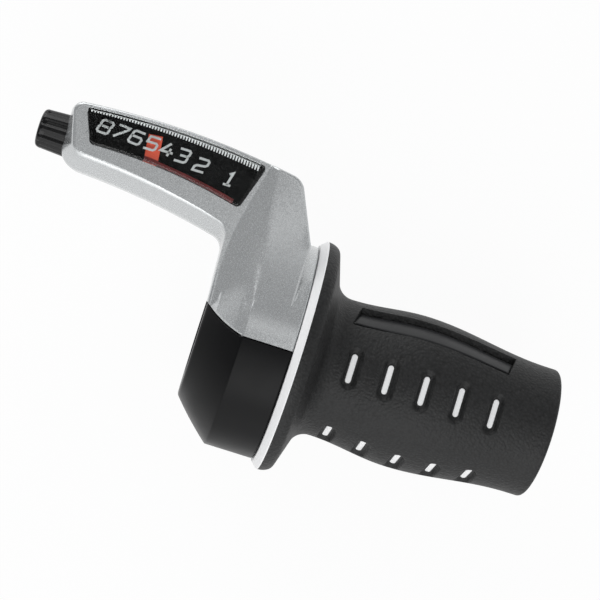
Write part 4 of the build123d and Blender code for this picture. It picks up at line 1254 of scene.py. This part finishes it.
class SHIFTER_OT_grip_core(bpy.types.Operator):
    """White core tube with its ring, drive keys and the bars in the slots."""

    bl_idname = "shifter.grip_core"
    bl_label = "Grip core"

    def execute(self, context):
        grip = context.scene.shifter_grip
        tube = core_points(grip)
        keys = [key_grid(grip, radians(120 * index)) for index in range(3)]
        mesh = build_mesh("core_tube", *join_grids([(tube, grid_quads(tube, True, True).tolist()), *keys]))
        add_piece(mesh, "grip", material_named("white"), ["grip_core"])
        bars = [bar_grid(grip, station, row) for row in slot_turns(grip) for station in slot_stations(grip)]
        mesh = build_mesh("slot_bars", *join_grids(bars))
        add_piece(mesh, "grip", material_named("white"))
        return {"FINISHED"}


class SHIFTER_OT_adjuster(bpy.types.Operator):
    """Ribbed barrel adjuster with its threaded shank and ferrule socket."""

    bl_idname = "shifter.adjuster"
    bl_label = "Barrel adjuster"

    def execute(self, context):
        points = knob_points(context.scene.shifter_adjuster)
        mesh = build_mesh("adjuster_knob", points, grid_quads(points, True, True))
        add_piece(mesh, "adjuster", material_named("gloss_black"), ["barrel_adjuster"])
        return {"FINISHED"}


class SHIFTER_OT_window(bpy.types.Operator):
    """Clear lens, the toothed strip below its front edge and the gear numbers."""

    bl_idname = "shifter.window"
    bl_label = "Gear window"

    def execute(self, context):
        window = context.scene.shifter_window
        lens = build_mesh("lens", *lens_grid(window))
        add_piece(lens, "housing", material_named("clear"), ["window_lens"])
        strip = build_mesh("lens_teeth", *join_grids(strip_grids(window)))
        add_piece(strip, "housing", material_named("prism"))
        numbers = build_mesh("gear_numbers", *join_grids(numeral_grids(window)))
        add_piece(numbers, "housing", material_named("numeral"))
        return {"FINISHED"}


class SHIFTER_OT_housing(bpy.types.Operator):
    """Silver housing and black clamp half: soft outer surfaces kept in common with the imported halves."""

    bl_idname = "shifter.housing"
    bl_label = "Housing halves"

    def execute(self, context):
        shell, window = context.scene.shifter_housing, context.scene.shifter_window
        collar = collar_mesh(shell)
        blank = combined(pod_mesh(shell, window), collar, "UNION")
        for node, outer, slot, shade in (
            ("upper_housing", blank, "silver_lacquer", "silver"),
            ("lower_clamp", collar, "black_plastic", "black"),
        ):
            mesh = combined(outer, cad_mesh(node), "INTERSECT")
            if node == "upper_housing":
                mesh = combined(mesh, build_mesh("saddle", *saddle_grid(shell)), "UNION")
            mesh.name = node + "_shell"
            if len(mesh.polygons) < FEWEST_FACES:
                raise RuntimeError(node + " lost its surface")
            mesh.shade_smooth()
            mesh.set_sharp_from_angle(angle=HOUSING_SHARP)
            flatten_square_faces(mesh)
            add_piece(mesh, "housing", material_named(shade), [node])
        return {"FINISHED"}


class SHIFTER_OT_fittings(bpy.types.Operator):
    """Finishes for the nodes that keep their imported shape."""

    bl_idname = "shifter.fittings"
    bl_label = "Fittings"

    def execute(self, context):
        shades = {
            "clamp_screw": "steel", "clamp_insert": "brass", "pod_cover": "black", "cover_screws": "steel",
            "dial_tray": "dial", "indicator": "red", "cable_guide": "black", "adjuster_bushing": "brass",
            "adjuster_spring": "steel", "cable_spool": "white", "detent_spring": "steel",
        }
        for node, shade in shades.items():
            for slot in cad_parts[node].material_slots:
                slot.material = material_named(shade)
        return {"FINISHED"}


def white_mix(tree, plain, white, share_seen):
    """Plain shader, with a share of white where the camera, a mirror or glass looks straight at it."""
    path = node_of(tree, "ShaderNodeLightPath").outputs
    seen = math_of(tree, "MAXIMUM", path["Is Camera Ray"], path["Is Glossy Ray"])
    clear = math_of(tree, "MAXIMUM", seen, path["Is Transmission Ray"])
    shaders = {0: math_of(tree, "MULTIPLY", clear, share_seen), 1: plain.outputs[0], 2: white.outputs[0]}
    return node_of(tree, "ShaderNodeMixShader", shaders).outputs[0]


def placing(right, up, back, place):
    """Placing with the given axes at a point."""
    return Matrix([[*row, p] for row, p in zip(np.stack([right, up, back], axis=1), place)] + [[0, 0, 0, 1]])


def facing_origin(place):
    """Placing at a point, with the local Z axis away from the origin."""
    nearly_forward = (0.0, 1.0, 0.01)
    back = unit(np.array(place))
    right = unit(np.cross(nearly_forward, back))
    return placing(right, np.cross(back, right), back, place)


def matt_material(name, grey):
    """Plain matt grey for the stage."""
    material = bpy.data.materials.new(name)
    material.use_nodes = True
    tree = material.node_tree
    feed(tree, tree.nodes["Principled BSDF"], {"Base Color": (grey, grey, grey, 1), "Roughness": 0.9})
    return material


def stage_sheet(scene, name, size, placed, material):
    """Square sheet of the stage: four corners carried to its place."""
    corners = np.array([(-1, -1, 0), (1, -1, 0), (1, 1, 0), (-1, 1, 0)]) * size / 2
    turn = np.array(placed)
    mesh = bpy.data.meshes.new(name)
    mesh.from_pydata((corners @ turn[:3, :3].T + turn[:3, 3]).tolist(), [], [(0, 1, 2, 3)])
    mesh.materials.append(material)
    piece = bpy.data.objects.new(name, mesh)
    scene.collection.objects.link(piece)
    return piece


class SHIFTER_OT_stage(bpy.types.Operator):
    """Pale floor, soft boxes, grey panels, world and the camera."""

    bl_idname = "shifter.stage"
    bl_label = "Stage"

    def execute(self, context):
        scene = context.scene
        scene.view_settings.view_transform = "Standard"
        self.floor(scene)
        self.world(scene)
        self.lamps(scene)
        self.panels(scene)
        self.camera(scene)
        return {"FINISHED"}

    def floor(self, scene):
        """Wide flat floor just under the object."""
        width, gap, share_seen = 5.0, 0.4 * MM, 0.94
        material = matt_material("Pale floor", 0.92)
        tree = material.node_tree
        glow = node_of(tree, "ShaderNodeEmission")
        mix = white_mix(tree, tree.nodes["Principled BSDF"], glow, share_seen)
        feed(tree, tree.nodes["Material Output"], {"Surface": mix})
        stage_sheet(scene, "floor", width, Matrix.Translation((0, 0, CAD_BOX[0].z - gap)), material)

    def world(self, scene):
        """Even soft light from all round, white where it is looked at."""
        scene.world = bpy.data.worlds.new("Studio")
        scene.world.use_nodes = True
        tree = scene.world.node_tree
        plain = tree.nodes["Background"]
        feed(tree, plain, {"Color": (0.95, 0.97, 1.0, 1), "Strength": 0.33})
        mix = white_mix(tree, plain, node_of(tree, "ShaderNodeBackground"), 1.0)
        feed(tree, tree.nodes["World Output"], {"Surface": mix})

    def lamps(self, scene):
        """Large soft boxes by name, place, size and power: two behind the bar and one in front."""
        boxes = [
            ("key", (-0.05, -0.70, 0.30), 1.20, 3.6), ("top", (0.10, -0.55, 0.85), 0.80, 3.5),
            ("front", (-0.40, 0.75, 0.25), 0.80, 5.2),
        ]
        for name, place, size, power in boxes:
            lamp = bpy.data.lights.new(name, "AREA")
            lamp.size = size
            lamp.energy = power
            holder = bpy.data.objects.new(name, lamp)
            holder.matrix_world = facing_origin(place)
            scene.collection.objects.link(holder)

    def panels(self, scene):
        """Grey panels by name, place and size, which only reflections see."""
        material = matt_material("Grey panel", 0.18)
        panels = [
            ("front_panel", (0.0, 0.76, 0.53), 1.0), ("end_panel", (-0.66, 0.10, 0.50), 1.25),
            ("top_panel", (-0.07, 0.085, 0.95), 0.28),
        ]
        for name, place, size in panels:
            panel = stage_sheet(scene, name, size, facing_origin(place), material)
            panel.visible_camera = panel.visible_diffuse = panel.visible_shadow = False

    def camera(self, scene):
        """Camera above the object, turned as the photograph is."""
        tilt, roll = 0.065, 0.3103
        away, across, above = 374.0 * MM, 1.74 * MM, 12.48 * MM
        lens = bpy.data.cameras.new("camera")
        lens.sensor_width = 36.0
        lens.lens = 99.0
        lens.clip_start = 0.01
        camera = bpy.data.objects.new("camera", lens)
        right = np.array((np.cos(tilt) * np.cos(roll), np.sin(roll), np.sin(tilt) * np.cos(roll)))
        back = np.array((-np.sin(tilt), 0.0, np.cos(tilt)))
        up = np.cross(back, right)
        camera.matrix_world = placing(right, up, back, back * away + right * across + up * above)
        scene.collection.objects.link(camera)
        scene.camera = camera


class SHIFTER_PT_panel(bpy.types.Panel):
    """Sidebar list of the shifter's pieces."""

    bl_idname = "SHIFTER_PT_panel"
    bl_label = "Twist grip shifter"
    bl_space_type = "VIEW_3D"
    bl_region_type = "UI"
    bl_category = "Shifter"

    def draw(self, context):
        for operator in OPERATORS:
            self.layout.operator(operator.bl_idname)


OPERATORS = (
    SHIFTER_OT_stage, SHIFTER_OT_housing, SHIFTER_OT_grip_rubber, SHIFTER_OT_grip_plate, SHIFTER_OT_grip_core,
    SHIFTER_OT_adjuster, SHIFTER_OT_window, SHIFTER_OT_fittings,
)
SETTINGS = {
    "shifter_housing": HousingSizes, "shifter_grip": GripSizes, "shifter_adjuster": AdjusterSizes,
    "shifter_window": WindowSizes, "shifter_finishes": Finishes,
}


def register():
    """Registers the settings, operators and panel."""
    for name, kind in SETTINGS.items():
        bpy.utils.register_class(kind)
        setattr(bpy.types.Scene, name, bpy.props.PointerProperty(type=kind))
    for kind in (*OPERATORS, SHIFTER_PT_panel):
        bpy.utils.register_class(kind)


def unregister():
    """Takes the panel, operators and settings away again."""
    for kind in (SHIFTER_PT_panel, *reversed(OPERATORS)):
        bpy.utils.unregister_class(kind)
    for name, kind in SETTINGS.items():
        delattr(bpy.types.Scene, name)
        bpy.utils.unregister_class(kind)


def main():
    """Registers the add-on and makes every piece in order."""
    register()
    for operator in OPERATORS:
        group, name = operator.bl_idname.split(".")
        getattr(getattr(bpy.ops, group), name)()


if __name__ == "__main__":
    main()
